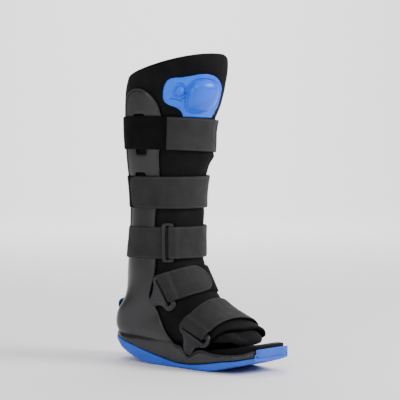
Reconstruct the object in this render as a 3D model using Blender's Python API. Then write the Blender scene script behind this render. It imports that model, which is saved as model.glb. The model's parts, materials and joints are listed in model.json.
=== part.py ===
"""Tall walking boot: rocker sole, rigid shell with two uprights, padded liner, five straps and an air pump.

Metres, +Z up, +X towards the toes, +Y to the left. The tables are measured from the leg's axis. At the end
the boot is moved so that the middle of its box stands over the origin, with its sole at Z = 0. Every piece
is one closed solid, and neighbours keep a small gap.
"""

import math
from typing import NamedTuple

import bmesh
import bpy
from mathutils import Matrix, Quaternion, Vector

MM = 0.001
LEFT = Vector((0.0, 1.0, 0.0))
UP = Vector((0.0, 0.0, 1.0))
BOX_CENTRE = Vector((0.0532, 0.0, 0.0))
GAP = 0.4 * MM
WELD = 0.002 * MM

# Padded liner
AROUND = 24
FINE_FROM_STATION = 9
LEG_WALL = 8 * MM
TOE_WALL = 4.5 * MM
FLAP_EDGE_DEG = 12.0
FLAP_RISE_DEG = 48.0
FLAP_LIFT = 2.6 * MM
FLAP_LAST_STATION = 9.0
MOUTH_START = 14.0
MOUTH_BACK = 0.25
MOUTH_BACK_NEAR = 1.2
MOUTH_BACK_BELOW = 0.9
MOUTH_BACK_MOST = 1.5

# Shell
SHELL_CLEAR = 0.6 * MM
SHELL_WALL = 3.0 * MM
SHELL_FIRST_STATION = 1
SHELL_FIRM = 1.6
FIRM_START = 9.5
PLATFORM_RISE = 8 * MM
PLATFORM_LEAST = 36 * MM
WINDOWS = ((-0.0045, 0.0150, 0.2865, 0.3405), (-0.0105, 0.0086, 0.2240, 0.2610))

# Tread
TREAD_FIRST = -0.052
TREAD_PITCH = 0.0125
TREAD_COUNT = 20
TREAD_WIDTH = 2.4 * MM
TREAD_DEPTH = 1.8 * MM
TREAD_FREE = (0.015, 0.040)

# Straps
STRAP_CLEAR = 1.5 * MM
BASE_THICK = 1.8 * MM
END_THICK = 1.5 * MM
STRAP_ROWS = 4
STRAP_STEP_DEG = 9.0
CORNER = 6 * MM
CORNER_STEPS = 4
INSTEP_TIP = 17 * MM
ROLL_HOLD_DEG = 10.8
ROLL_DROP_DEG = 8.0
SKEW_FADE_DEG = 35.0
CALF_END_DEG = (-50.0, 120.0)
SHIN_END_DEG = (-112.0, 120.0)
ANKLE_END_LAST_DEG = 120.0
INSTEP_END_LAST_DEG = 16.0
INSTEP_LAST_DEG = 112.0
FOREFOOT_END_LAST_DEG = 60.0
FOREFOOT_LAST_DEG = 120.0

# Loops that the straps run through, and rivets at their far ends
LOOP_THICK = 2.6 * MM
LOOP_NET = 12 * MM
LOOP_CLEAR = 1.8 * MM
PLATE_ROLL = 2.8 * MM
BAR_CLEAR_DEG = 8.0
ANCHOR_RADIUS = 6 * MM
ANCHOR_THICK = 1.6 * MM
INSTEP_ANCHOR_DEG = 104.0
FOREFOOT_ANCHOR_DEG = 108.0

# Toe cover
TOE_CLEAR = 3.0 * MM
TOE_CLOTH = 2 * MM
TOE_STATIONS = (14.6, 15.3, 16.0, 16.5)
TOE_SWELL = 5 * MM
TOE_DROP = 0.5
TOE_BULGE = ((0.003, 0.96), (0.008, 0.88), (0.012, 0.72), (0.0155, 0.4))

# Heel loop
HEEL_LOOP_X = -0.0757
HEEL_LOOP_Z = 0.0722
HEEL_LOOP_RADIUS = 8.5 * MM
HEEL_LOOP_TOP = (-0.0624, 0.0815)
HEEL_LOOP_FOOT = (-0.0694, 0.0655)
HEEL_LOOP_HALF = 10 * MM
HEEL_LOOP_THICK = 2.4 * MM

BLACK_FOAM = ("black_foam", (0.012, 0.012, 0.013, 1), 0.85)
BLACK_SHELL = ("black_shell", (0.045, 0.044, 0.046, 1), 0.42)
BLUE_RUBBER = ("blue_rubber", (0.09, 0.27, 0.78, 1), 0.5)
BLUE_PUMP = ("blue_pump", (0.08, 0.28, 0.82, 1), 0.35)
BLACK_PILE = ("black_pile", (0.008, 0.008, 0.009, 1), 0.95)
GREY_WEBBING = ("grey_webbing", (0.035, 0.036, 0.038, 1), 0.7)
BLACK_LOOP = ("black_loop", (0.06, 0.06, 0.062, 1), 0.4)
NAVY_LOOP = ("navy_loop", (0.01, 0.016, 0.05, 1), 0.5)


class Station(NamedTuple):
    """A section of the liner's outside, cut from its front (or instep) point to its back (or sole) point."""

    name: str
    front_x: float
    front_z: float
    back_x: float
    back_z: float
    side: float
    split: float
    square: float


LINER_STATIONS = (
    Station("collar", 0.0905, 0.4215, -0.0440, 0.386, 0.0640, 0.46, 2.2),
    Station("flare", 0.0870, 0.390, -0.0510, 0.368, 0.0645, 0.47, 2.2),
    Station("calf_top", 0.0790, 0.356, -0.0550, 0.346, 0.0605, 0.49, 2.2),
    Station("calf", 0.0640, 0.324, -0.0555, 0.322, 0.0560, 0.50, 2.2),
    Station("calf_low", 0.0645, 0.290, -0.0545, 0.290, 0.0545, 0.50, 2.2),
    Station("shin_top", 0.0565, 0.262, -0.0515, 0.262, 0.0500, 0.50, 2.2),
    Station("shin", 0.0510, 0.235, -0.0462, 0.235, 0.0460, 0.50, 2.2),
    Station("shin_low", 0.0525, 0.206, -0.0465, 0.206, 0.0450, 0.50, 2.2),
    Station("ankle_top", 0.0505, 0.172, -0.0475, 0.170, 0.0445, 0.50, 2.2),
    Station("ankle", 0.0520, 0.143, -0.0528, 0.132, 0.0445, 0.50, 2.2),
    Station("instep_top", 0.0640, 0.125, -0.0555, 0.088, 0.0440, 0.48, 2.3),
    Station("instep", 0.0760, 0.1095, -0.0670, 0.062, 0.0430, 0.46, 2.4),
    Station("heel", 0.0865, 0.0970, -0.0620, 0.038, 0.0410, 0.42, 2.6),
    Station("arch", 0.0940, 0.0880, -0.0200, 0.0325, 0.0410, 0.40, 2.8),
    Station("waist", 0.1040, 0.0800, 0.0350, 0.0268, 0.0415, 0.38, 2.8),
    Station("ball", 0.1190, 0.0725, 0.0850, 0.0265, 0.0420, 0.38, 2.8),
    Station("toes", 0.1360, 0.0650, 0.1220, 0.0290, 0.0400, 0.40, 2.6),
    Station("mouth", 0.1520, 0.0585, 0.1480, 0.0325, 0.0360, 0.42, 2.4),
)
MOUTH = float(len(LINER_STATIONS) - 1)


class SoleRow(NamedTuple):
    """A row of the sole: its place along the foot, half width, underside and top."""

    x: float
    half: float
    under: float
    top: float


SOLE_ROWS = (
    SoleRow(-0.0745, 0.0140, 0.0315, 0.0360),
    SoleRow(-0.0720, 0.0240, 0.0300, 0.0355),
    SoleRow(-0.0650, 0.0330, 0.0265, 0.0335),
    SoleRow(-0.0500, 0.0405, 0.0180, 0.0290),
    SoleRow(-0.0350, 0.0435, 0.0115, 0.0255),
    SoleRow(-0.0120, 0.0445, 0.0034, 0.0200),
    SoleRow(0.0090, 0.0445, 0.0000, 0.0150),
    SoleRow(0.0200, 0.0445, 0.0000, 0.0125),
    SoleRow(0.0450, 0.0455, 0.0000, 0.0080),
    SoleRow(0.0650, 0.0465, 0.0000, 0.0060),
    SoleRow(0.0900, 0.0480, 0.0000, 0.0070),
    SoleRow(0.1150, 0.0480, 0.0005, 0.0105),
    SoleRow(0.1370, 0.0460, 0.0045, 0.0145),
    SoleRow(0.1580, 0.0425, 0.0098, 0.0172),
    SoleRow(0.1750, 0.0385, 0.0146, 0.0208),
    SoleRow(0.1868, 0.0345, 0.0182, 0.0238),
    SoleRow(0.1878, 0.0336, 0.0186, 0.0340),
    SoleRow(0.1902, 0.0308, 0.0205, 0.0345),
    SoleRow(0.1918, 0.0275, 0.0228, 0.0343),
)
SOLE_LIP = 0.1873
FOOTBED_ROWS = (
    SoleRow(0.0550, 0.0330, 0.0215, 0.0255),
    SoleRow(0.0900, 0.0340, 0.0212, 0.0252),
    SoleRow(0.1180, 0.0335, 0.0230, 0.0275),
    SoleRow(0.1420, 0.0320, 0.0225, 0.0310),
    SoleRow(0.1600, 0.0310, 0.0238, 0.0350),
    SoleRow(0.1740, 0.0300, 0.0265, 0.0378),
    SoleRow(0.1864, 0.0262, 0.0318, 0.0384),
)


class Edge(NamedTuple):
    """A point of an outline, and whether the outline turns sharply there."""

    u: float
    v: float
    sharp: bool = False


SHELL_SIDE = (
    Edge(0.1862, -0.010, True),
    Edge(0.1862, 0.0325, True),
    Edge(0.1740, 0.0275),
    Edge(0.1580, 0.0245),
    Edge(0.1250, 0.0238),
    Edge(0.1030, 0.0270),
    Edge(0.0895, 0.0215),
    Edge(0.0815, 0.0168),
    Edge(0.0740, 0.0222),
    Edge(0.0665, 0.0285),
    Edge(0.0550, 0.0310),
    Edge(0.0400, 0.0440),
    Edge(0.0290, 0.0600),
    Edge(0.0200, 0.0760),
    Edge(0.0100, 0.0900),
    Edge(0.0125, 0.1040),
    Edge(0.0180, 0.1220),
    Edge(0.0200, 0.1450),
    Edge(0.0195, 0.1960),
    Edge(0.0270, 0.2400),
    Edge(0.0320, 0.2800),
    Edge(0.0395, 0.3350),
    Edge(0.0350, 0.3590),
    Edge(0.0110, 0.3735),
    Edge(-0.0150, 0.3640),
    Edge(-0.0240, 0.3400),
    Edge(-0.0260, 0.3000),
    Edge(-0.0280, 0.2500),
    Edge(-0.0310, 0.2000),
    Edge(-0.0370, 0.1650),
    Edge(-0.0520, 0.1380),
    Edge(-0.0700, 0.1280),
    Edge(-0.1000, 0.1260, True),
    Edge(-0.1000, -0.0100, True),
)

INSTEP_LOOP = (
    Edge(0.0494, 0.0867),
    Edge(0.0504, 0.0820),
    Edge(0.0474, 0.0774),
    Edge(0.0424, 0.0746),
    Edge(0.0374, 0.0763),
    Edge(0.0335, 0.0802),
    Edge(0.0279, 0.0821),
    Edge(0.0176, 0.0793),
    Edge(0.0139, 0.0823),
    Edge(0.0130, 0.0873),
    Edge(0.0180, 0.0996),
    Edge(0.0198, 0.1090),
    Edge(0.0202, 0.1174),
    Edge(0.0224, 0.1211),
    Edge(0.0275, 0.1232),
    Edge(0.0319, 0.1225),
    Edge(0.0400, 0.1075),
)
INSTEP_SLOT = (
    Edge(0.0234, 0.1154, True),
    Edge(0.0264, 0.1182, True),
    Edge(0.0454, 0.0853, True),
    Edge(0.0407, 0.0808, True),
)
INSTEP_SLOT_MIDDLE = (
    Edge(0.0259, 0.1173),
    Edge(0.0434, 0.0836),
)
INSTEP_BAR_FRONT = (
    Edge(0.0319, 0.1225),
    Edge(0.0494, 0.0867),
)
FOREFOOT_LOOP = (
    Edge(0.1184, 0.0458),
    Edge(0.1186, 0.0409),
    Edge(0.1165, 0.0347),
    Edge(0.1110, 0.0319),
    Edge(0.1021, 0.0319),
    Edge(0.0961, 0.0297),
    Edge(0.0925, 0.0257),
    Edge(0.0887, 0.0213),
    Edge(0.0829, 0.0202),
    Edge(0.0769, 0.0247),
    Edge(0.0740, 0.0311),
    Edge(0.0738, 0.0390),
    Edge(0.0705, 0.0460),
    Edge(0.0655, 0.0508),
    Edge(0.0641, 0.0556),
    Edge(0.0664, 0.0605),
    Edge(0.0712, 0.0632),
    Edge(0.0760, 0.0638),
    Edge(0.1165, 0.0480),
)
FOREFOOT_SLOT = (
    Edge(0.0685, 0.0544, True),
    Edge(0.0718, 0.0586, True),
    Edge(0.1144, 0.0421, True),
    Edge(0.1112, 0.0367, True),
)
FOREFOOT_SLOT_MIDDLE = (
    Edge(0.0708, 0.0577),
    Edge(0.1140, 0.0409),
)
FOREFOOT_BAR_FRONT = (
    Edge(0.0740, 0.0642),
    Edge(0.1168, 0.0477),
)
ANKLE_LOOP_DEG = -47.0
ANKLE_LOOP_HALF = (7.5 * MM, 26.5 * MM)
ANKLE_SLOT_HALF = (2.4 * MM, 23.0 * MM)
LOOP_CORNER = 3 * MM

PUMP_PANEL = (
    Edge(-63.3, 0.3650),
    Edge(-62.8, 0.3736),
    Edge(-61.1, 0.3808),
    Edge(-57.6, 0.3862),
    Edge(-52.2, 0.3881),
    Edge(-45.0, 0.3885),
    Edge(-36.2, 0.3899),
    Edge(-18.1, 0.3928),
    Edge(-9.4, 0.3920),
    Edge(-2.0, 0.3890),
    Edge(3.4, 0.3832),
    Edge(7.8, 0.3748),
    Edge(8.8, 0.3662),
    Edge(7.4, 0.3444),
    Edge(5.7, 0.3347, True),
    Edge(-33.4, 0.3369, True),
    Edge(-37.8, 0.3431),
    Edge(-44.0, 0.3480),
    Edge(-58.1, 0.3542),
    Edge(-62.0, 0.3584),
)
ARC = 1.1 * MM
PANEL_CLEAR = 1.4 * MM
PANEL_THICK = 3.2 * MM
PANEL_NET = 15 * MM
DOME_CLEAR = 0.6 * MM
DOME_SIDES = 16
DOME_UNDER_SHARES = (0.3, 0.7, 1.0)
DOME_OVER_SHARES = (0.98, 0.92, 0.8, 0.6, 0.3)
BULB_CENTRE = (-16.5, 0.3638)
BULB_HALF_DEG = 18.8
BULB_HALF_HIGH = 21.2 * MM
BULB_RISE = 12 * MM
BUTTON_CENTRE = (-44.4, 0.3700)
BUTTON_RADIUS = 6.4 * MM
BUTTON_RISE = 5 * MM


class Strap(NamedTuple):
    """A strap's course: a point inside the leg or foot on its middle line, its tilt, its width and how much lower
    it lies on the far side, both angles in degrees."""

    x: float
    z: float
    tilt: float
    width: float
    roll: float = 0.0


CALF = Strap(0.004, 0.3122, 0.0, 0.0440, 3.0)
SHIN = Strap(0.002, 0.2346, 0.0, 0.0432)
ANKLE = Strap(0.001, 0.1660, 1.0, 0.0430)
INSTEP = Strap(0.0242, 0.1005, 22.0, 0.0400)
FOREFOOT = Strap(0.0948, 0.0560, 55.0, 0.0460)


def clear_scene():
    """Removes the startup objects."""
    for obj in list(bpy.data.objects):
        bpy.data.objects.remove(obj)


def collection(name):
    """A new collection in the scene."""
    made = bpy.data.collections.new(name)
    bpy.context.scene.collection.children.link(made)
    return made


def finish(name, colour, roughness):
    """A Principled material, made once."""
    found = bpy.data.materials.get(name)
    if found:
        return found
    made = bpy.data.materials.new(name)
    made.use_nodes = True
    shader = made.node_tree.nodes["Principled BSDF"]
    shader.inputs["Base Color"].default_value = colour
    shader.inputs["Roughness"].default_value = roughness
    shader.inputs["Metallic"].default_value = 0.0
    return made


def mesh_object(name, bm, where, look=None):
    """An object for the faces of a bmesh, in a collection; without a look it is a cutter or a guide."""
    bmesh.ops.triangulate(bm, faces=bm.faces)
    bmesh.ops.recalc_face_normals(bm, faces=bm.faces)
    if bm.calc_volume(signed=True) < 0:
        bmesh.ops.reverse_faces(bm, faces=bm.faces)
    mesh = bpy.data.meshes.new(name)
    bm.to_mesh(mesh)
    bm.free()
    obj = bpy.data.objects.new(name, mesh)
    where.objects.link(obj)
    if look:
        mesh.materials.append(finish(*look))
    else:
        obj.hide_render = True
        obj.display_type = "WIRE"
    return obj


def boolean(obj, cutter, operation):
    """Joins, cuts or trims a mesh with another, and keeps the result as the object's own mesh."""
    modifier = obj.modifiers.new(operation.lower(), "BOOLEAN")
    modifier.operation = operation
    modifier.object = cutter
    bpy.context.view_layer.update()
    graph = bpy.context.evaluated_depsgraph_get()
    bm = bmesh.new()
    bm.from_mesh(bpy.data.meshes.new_from_object(obj.evaluated_get(graph)))
    bmesh.ops.remove_doubles(bm, verts=bm.verts, dist=WELD)
    bmesh.ops.triangulate(bm, faces=bm.faces)
    obj.modifiers.clear()
    bm.to_mesh(obj.data)
    bm.free()


def loft(name, rings, where, look=None, cyclic=False):
    """A closed solid through rings of equal count, capped at both ends unless it closes on itself."""
    bm = bmesh.new()
    made = [[bm.verts.new(p) for p in ring] for ring in rings]
    pairs = list(zip(made, made[1:] + made[:1])) if cyclic else list(zip(made, made[1:]))
    for low, high in pairs:
        for i in range(len(low)):
            j = (i + 1) % len(low)
            bm.faces.new((low[i], low[j], high[j], high[i]))
    if not cyclic:
        bm.faces.new(list(reversed(made[0])))
        bm.faces.new(made[-1])
    return mesh_object(name, bm, where, look)


def box(name, low, high, where):
    """A box between two corners, as a cutter."""
    bm = bmesh.new()
    bmesh.ops.create_cube(bm, size=1.0)
    bmesh.ops.scale(bm, vec=Vector(high) - Vector(low), verts=bm.verts)
    bmesh.ops.translate(bm, vec=(Vector(low) + Vector(high)) / 2, verts=bm.verts)
    return mesh_object(name, bm, where)


def spline_value(values, t):
    """A smooth value through a row of values, at the position t."""
    last = len(values) - 1
    i = min(int(max(t, 0.0)), last - 1)
    f = t - i
    a, b, c, d = (values[min(max(k, 0), last)] for k in (i - 1, i, i + 1, i + 2))
    return b + 0.5 * f * (c - a + f * (2 * a - 5 * b + 4 * c - d + f * (3 * (b - c) + d - a)))


def by_x(rows, column, x):
    """The value of a column at x, straight between rows."""
    for low, high in zip(rows, rows[1:]):
        if x <= high.x:
            share = max(0.0, (x - low.x) / (high.x - low.x))
            return getattr(low, column) * (1 - share) + getattr(high, column) * share
    return getattr(rows[-1], column)


def smooth(share):
    """A soft step from 0 to 1."""
    share = min(max(share, 0.0), 1.0)
    return share * share * (3 - 2 * share)


def taut_ring(points):
    """The corners of a taut loop round flat points, counter-clockwise."""
    ordered = sorted({(round(p.x, 6), round(p.y, 6)) for p in points})
    ring = []
    for run in (ordered, list(reversed(ordered))):
        half = []
        for p in run:
            while len(half) > 1 and turn(half[-2], half[-1], p) <= 0:
                half.pop()
            half.append(p)
        ring += half[:-1]
    return [Vector(p) for p in ring]


def turn(a, b, c):
    """Positive where the way from a over b to c turns left."""
    return (b[0] - a[0]) * (c[1] - a[1]) - (b[1] - a[1]) * (c[0] - a[0])


def leg_point(t, degrees, grow=0.0, firm=0.0):
    """A point of the liner's outside: at a station, at an angle from the front, grown outwards. A firm form
    has squarer corners below the foot."""
    row = {f: spline_value([getattr(s, f) for s in LINER_STATIONS], t) for f in Station._fields[1:]}
    front = Vector((row["front_x"], 0.0, row["front_z"]))
    back = Vector((row["back_x"], 0.0, row["back_z"]))
    long = (front - back).length
    ahead = (front - back) / long
    centre = back + ahead * long * row["split"]
    angle = math.radians(degrees)
    c, s = math.cos(angle), math.sin(angle)
    reach = long * (1 - row["split"]) if c > 0 else long * row["split"]
    power = 2 / (2.2 if c > 0 else row["square"] + firm * smooth((t - FIRM_START) / 2))
    along = (reach + grow) * math.copysign(abs(c) ** power, c)
    across = (row["side"] + grow) * math.copysign(abs(s) ** power, s)
    return centre + ahead * along + LEFT * across


def flap_lift(t, degrees):
    """How far the near flap, which laps over the other at the front, stands above the plain liner."""
    if t >= FLAP_LAST_STATION or degrees > FLAP_EDGE_DEG:
        return 0.0
    rise = smooth((degrees + FLAP_RISE_DEG) / FLAP_RISE_DEG)
    return FLAP_LIFT * rise * min(1.0, FLAP_LAST_STATION - t)


def leg_at(degrees, height, grow):
    """The point over the liner's upper part at an angle and a height, grown outwards. Past the flap's edge it
    keeps the flap's height."""
    low, high = 0.0, 9.0
    for _ in range(30):
        middle = (low + high) / 2
        if leg_point(middle, degrees).z > height:
            low = middle
        else:
            high = middle
    return leg_point(low, degrees, grow + flap_lift(low, min(degrees, FLAP_EDGE_DEG)))


def ring_places(first=0):
    """The places of the liner's rings: one at each station of the leg, and two to a station round the foot."""
    coarse = [float(i) for i in range(first, FINE_FROM_STATION)]
    fine = [i / 2 for i in range(2 * FINE_FROM_STATION, 2 * int(MOUTH) + 1)]
    return coarse + fine


def leg_form(name, grow, where, first=0, beyond=0.0, firm=0.0):
    """A plain solid of the leg and foot, grown outwards, for cutting and joining."""
    rings = []
    for t in ring_places(first):
        rings.append([leg_point(t, 360.0 * k / AROUND, grow, firm) for k in range(AROUND)])
    if beyond:
        rings.insert(0, [p + UP * beyond for p in rings[0]])
        rings.append([p + Vector((beyond, 0, 0)) for p in rings[-1]])
    return loft(name, rings, where)


def liner_row(t, degrees):
    """A liner row's own place at an angle: the last rows draw back, more on the near side than on the far one."""
    near = max(0.0, -math.sin(math.radians(degrees + 20)))
    below = max(0.0, -math.cos(math.radians(degrees)))
    drawn_back = min(MOUTH_BACK + MOUTH_BACK_NEAR * near + MOUTH_BACK_BELOW * below, MOUTH_BACK_MOST)
    return t - drawn_back * max(0.0, t - MOUTH_START) / (MOUTH - MOUTH_START)


def make_liner(where):
    """The padded bootie: a hollow leg and foot, open at the collar and at the toes."""
    plain = [360.0 * i / AROUND - 180.0 for i in range(AROUND)]
    angles = sorted(plain + [FLAP_EDGE_DEG, FLAP_EDGE_DEG + 0.8])
    outer, inner = [], []
    for place in ring_places():
        wall = LEG_WALL + (TOE_WALL - LEG_WALL) * smooth((place / MOUTH - 0.55) / 0.35)
        outer.append([])
        inner.append([])
        for degrees in angles:
            t = liner_row(place, degrees)
            outer[-1].append(leg_point(t, degrees, flap_lift(t, degrees)))
            inner[-1].append(leg_point(t, degrees, -wall))
    return loft("liner", outer + list(reversed(inner)), where, BLACK_FOAM, cyclic=True)


def slab_ring(x, half, low, high, round_in):
    """One upright section of a slab: a box with its lower corners drawn in."""
    waist = low + (high - low) * 0.5
    return [
        Vector((x, -half, high)),
        Vector((x, -half, waist)),
        Vector((x, -half + round_in, low)),
        Vector((x, half - round_in, low)),
        Vector((x, half, waist)),
        Vector((x, half, high)),
    ]


def make_sole(where, cutters):
    """The rubber rocker sole, with a lip that rises in front of the platform and cross grooves below."""
    rings = [slab_ring(r.x, r.half, r.under, r.top, 2.5 * MM) for r in SOLE_ROWS]
    sole = loft("sole", rings, where, BLUE_RUBBER)
    grooves = bmesh.new()
    for i in range(TREAD_COUNT):
        x = TREAD_FIRST + i * TREAD_PITCH
        if TREAD_FREE[0] < x < TREAD_FREE[1]:
            continue
        low = by_x(SOLE_ROWS, "under", x)
        size = Vector((TREAD_WIDTH, 2 * by_x(SOLE_ROWS, "half", x) + 10 * MM, 2 * TREAD_DEPTH))
        place = Matrix.Translation((x, 0, low)) @ Matrix.Diagonal((*size, 1))
        bmesh.ops.create_cube(grooves, size=1.0, matrix=place)
    boolean(sole, mesh_object("grooves", grooves, cutters), "DIFFERENCE")
    return sole


def outline(edges, resolution=3):
    """A flat filled outline with smooth and sharp points, as a bmesh in the XY plane."""
    curve = bpy.data.curves.new("outline", "CURVE")
    curve.dimensions = "2D"
    curve.fill_mode = "BOTH"
    curve.resolution_u = resolution
    for loop in edges:
        spline = curve.splines.new("BEZIER")
        spline.bezier_points.add(len(loop) - 1)
        for point, edge in zip(spline.bezier_points, loop):
            point.co = (edge.u, edge.v, 0.0)
            kind = "VECTOR" if edge.sharp else "AUTO"
            point.handle_left_type = kind
            point.handle_right_type = kind
        spline.use_cyclic_u = True
    helper = bpy.data.objects.new("outline", curve)
    bpy.context.scene.collection.objects.link(helper)
    bpy.context.view_layer.update()
    graph = bpy.context.evaluated_depsgraph_get()
    mesh = bpy.data.meshes.new_from_object(helper.evaluated_get(graph))
    bm = bmesh.new()
    bm.from_mesh(mesh)
    bpy.data.objects.remove(helper)
    bmesh.ops.remove_doubles(bm, verts=bm.verts, dist=1e-6)
    return bm


def net(bm, pitch_u, pitch_v):
    """Cuts a flat bmesh along a net of lines, so that it can bend."""
    for axis, pitch in ((0, pitch_u), (1, pitch_v)):
        values = [v.co[axis] for v in bm.verts]
        for k in range(math.ceil(min(values) / pitch), math.floor(max(values) / pitch) + 1):
            point = Vector((0, 0, 0))
            normal = Vector((0, 0, 0))
            point[axis] = k * pitch
            normal[axis] = 1.0
            everything = list(bm.verts) + list(bm.edges) + list(bm.faces)
            bmesh.ops.bisect_plane(bm, geom=everything, plane_co=point, plane_no=normal, dist=1e-7)
    bmesh.ops.triangulate(bm, faces=bm.faces)


def bent_plate(name, bm, under, over, where, look):
    """A solid between two bent copies of a flat bmesh, each placed by a function of its two coordinates."""
    flat = [v.co.copy() for v in bm.verts]
    faces = [[v.index for v in f.verts] for f in bm.faces]
    rim = [[v.index for v in e.verts] for e in bm.edges if e.is_boundary]
    bm.free()
    made = bmesh.new()
    low = [made.verts.new(under(p.x, p.y)) for p in flat]
    high = [made.verts.new(over(p.x, p.y)) for p in flat]
    for face in faces:
        made.faces.new([high[i] for i in face])
        made.faces.new([low[i] for i in reversed(face)])
    for a, b in rim:
        made.faces.new((low[a], low[b], high[b], high[a]))
    return mesh_object(name, made, where, look)


def platform_ring(row):
    """A section of the shell's base, which lies on the sole and reaches up beside the liner."""
    half = row.half - 0.6 * MM
    top = max(row.top + PLATFORM_RISE, PLATFORM_LEAST)
    low = row.top - 3 * MM
    return [
        Vector((row.x, -half, top)),
        Vector((row.x, -half, low)),
        Vector((row.x, half, low)),
        Vector((row.x, half, top)),
    ]


def footbed_ring(row, grow=0.0):
    """A section of the footbed, or grown, of the room for it, which is open above."""
    rise = 20 * MM if grow else 0.0
    corners = ((-1, row.top + rise), (-1, row.under - grow), (1, row.under - grow), (1, row.top + rise))
    end = {FOOTBED_ROWS[0].x: -grow, FOOTBED_ROWS[-1].x: 20 * grow}.get(row.x, 0.0)
    return [Vector((row.x + end, side * (row.half + grow), z)) for side, z in corners]


def make_shell(where, cutters):
    """The moulded shell: base, heel counter and two uprights in one piece, with windows behind the straps."""
    shell = leg_form("shell", SHELL_CLEAR + SHELL_WALL, cutters, first=SHELL_FIRST_STATION, firm=SHELL_FIRM)
    rows = [r for r in SOLE_ROWS if r.x < SOLE_LIP]
    rows.append(rows[-1]._replace(x=SOLE_LIP + 0.01))
    base = loft("shell_base", [platform_ring(r) for r in rows], cutters)
    hollow = leg_form("shell_hollow", SHELL_CLEAR, cutters, beyond=0.05)
    rubber_rows = [rows[0]._replace(x=rows[0].x - 0.01)] + rows
    rubber = [slab_ring(r.x, r.half + 0.02, r.under - 0.03, r.top + GAP, 0) for r in rubber_rows]
    edge = outline([SHELL_SIDE], 2)
    side = bent_plate("shell_side", edge, lambda u, v: Vector((u, 0.08, v)), lambda u, v: Vector((u, -0.08, v)),
                      cutters, None)
    boolean(shell, base, "UNION")
    boolean(shell, hollow, "DIFFERENCE")
    boolean(shell, loft("sole_room", rubber, cutters), "DIFFERENCE")
    boolean(shell, loft("footbed_room", [footbed_ring(r, GAP) for r in FOOTBED_ROWS], cutters), "DIFFERENCE")
    boolean(shell, side, "INTERSECT")
    for i, (rear, front, low, high) in enumerate(WINDOWS):
        window = box(f"window_{i}", (rear, -0.1, low), (front, 0.1, high), cutters)
        boolean(shell, window, "DIFFERENCE")
    cutters.objects.unlink(shell)
    where.objects.link(shell)
    shell.hide_render = False
    shell.display_type = "TEXTURED"
    shell.data.materials.clear()
    shell.data.materials.append(finish(*BLACK_SHELL))
    return shell


class Course:
    """The way a strap takes round the bodies under it: their outline in planes across its width, pulled taut."""

    def __init__(self, strap, bodies):
        tilt = math.radians(strap.tilt)
        self.strap = strap
        self.centre = Vector((strap.x, 0.0, strap.z))
        roll = Quaternion((1.0, 0.0, 0.0), -math.radians(strap.roll))
        self.across = roll @ Vector((-math.sin(tilt), 0.0, math.cos(tilt)))
        self.ahead = roll @ Vector((math.cos(tilt), 0.0, math.sin(tilt)))
        self.left = roll @ LEFT
        half = strap.width / 2
        self.offsets = [half * (2 * i / (STRAP_ROWS - 1) - 1) for i in range(STRAP_ROWS)]
        self.sides = [self.taut_outline(bodies, o) for o in self.offsets]

    def taut_outline(self, bodies, offset):
        """The straight sides of the taut outline in one plane: outward direction and distance of each."""
        point = self.centre + self.across * offset
        flat = []
        for body in bodies:
            bm = bmesh.new()
            bm.from_mesh(body.data)
            everything = list(bm.verts) + list(bm.edges) + list(bm.faces)
            cut = bmesh.ops.bisect_plane(bm, geom=everything, plane_co=point, plane_no=self.across, dist=1e-7)
            found = [v.co - point for v in cut["geom_cut"] if isinstance(v, bmesh.types.BMVert)]
            flat += [Vector((p.dot(self.ahead), p.dot(self.left))) for p in found]
            bm.free()
        ring = taut_ring(flat)
        sides = []
        for a, b in zip(ring, ring[1:] + ring[:1]):
            normal = Vector((b.y - a.y, a.x - b.x)).normalized()
            sides.append((normal, normal.dot(a)))
        return sides

    def reach(self, row, degrees, grow):
        """How far the outline of a row lies from the middle at an angle from the front."""
        ray = Vector((math.cos(math.radians(degrees)), math.sin(math.radians(degrees))))
        return min((d + grow) / n.dot(ray) for n, d in self.sides[row] if n.dot(ray) > 1e-6)

    def point(self, offset, degrees, grow):
        """A point on the strap's course, across its width, round the leg and out from it."""
        place = (offset / self.strap.width + 0.5) * (STRAP_ROWS - 1)
        row = min(max(int(place), 0), STRAP_ROWS - 2)
        share = place - row
        low, high = (self.reach(row + k, degrees, grow) for k in (0, 1))
        out = low * (1 - share) + high * share
        angle = math.radians(degrees)
        ray = self.ahead * math.cos(angle) + self.left * math.sin(angle)
        return self.centre + self.across * offset + ray * out

    def section(self, degrees, low, high, share=1.0, skew=0.0):
        """A closed section of a band at one angle, between two distances from the leg. Skew turns it aslant."""
        offsets = [o * share for o in self.offsets]
        inner = [self.point(o, degrees + skew * o, low) for o in offsets]
        outer = [self.point(o, degrees + skew * o, high) for o in reversed(offsets)]
        return inner + outer

    def beside(self, x, z, grow):
        """The place on the course's near side that is seen at x and z from the side: offset and angle."""
        place = Vector((x, 0.0, z)) - self.centre
        offset, ahead = place.dot(self.across), place.dot(self.ahead)
        low, high = -180.0, 0.0
        for _ in range(30):
            middle = (low + high) / 2
            if (self.point(offset, middle, grow) - self.centre).dot(self.ahead) < ahead:
                low = middle
            else:
                high = middle
        return offset, low

    def aslant(self, above, below):
        """The angle at which a line seen from the side crosses the strap's middle, and its slant."""
        (v1, a1), (v2, a2) = (self.beside(e.u, e.v, STRAP_CLEAR) for e in (above, below))
        slant = (a2 - a1) / (v2 - v1)
        return a1 - slant * v1, slant

    def past(self, corners, slant):
        """The least angle at which a slanting end clears some corners seen from the side."""
        return max(a - slant * v for v, a in (self.beside(e.u, e.v, STRAP_CLEAR) for e in corners))


def loop_band(course, name, low, high, where, look):
    """A strap that goes all the way round."""
    count = int(360 / STRAP_STEP_DEG)
    rings = [course.section(i * STRAP_STEP_DEG, low, high) for i in range(count)]
    return loft(name, rings, where, look, cyclic=True)


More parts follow.
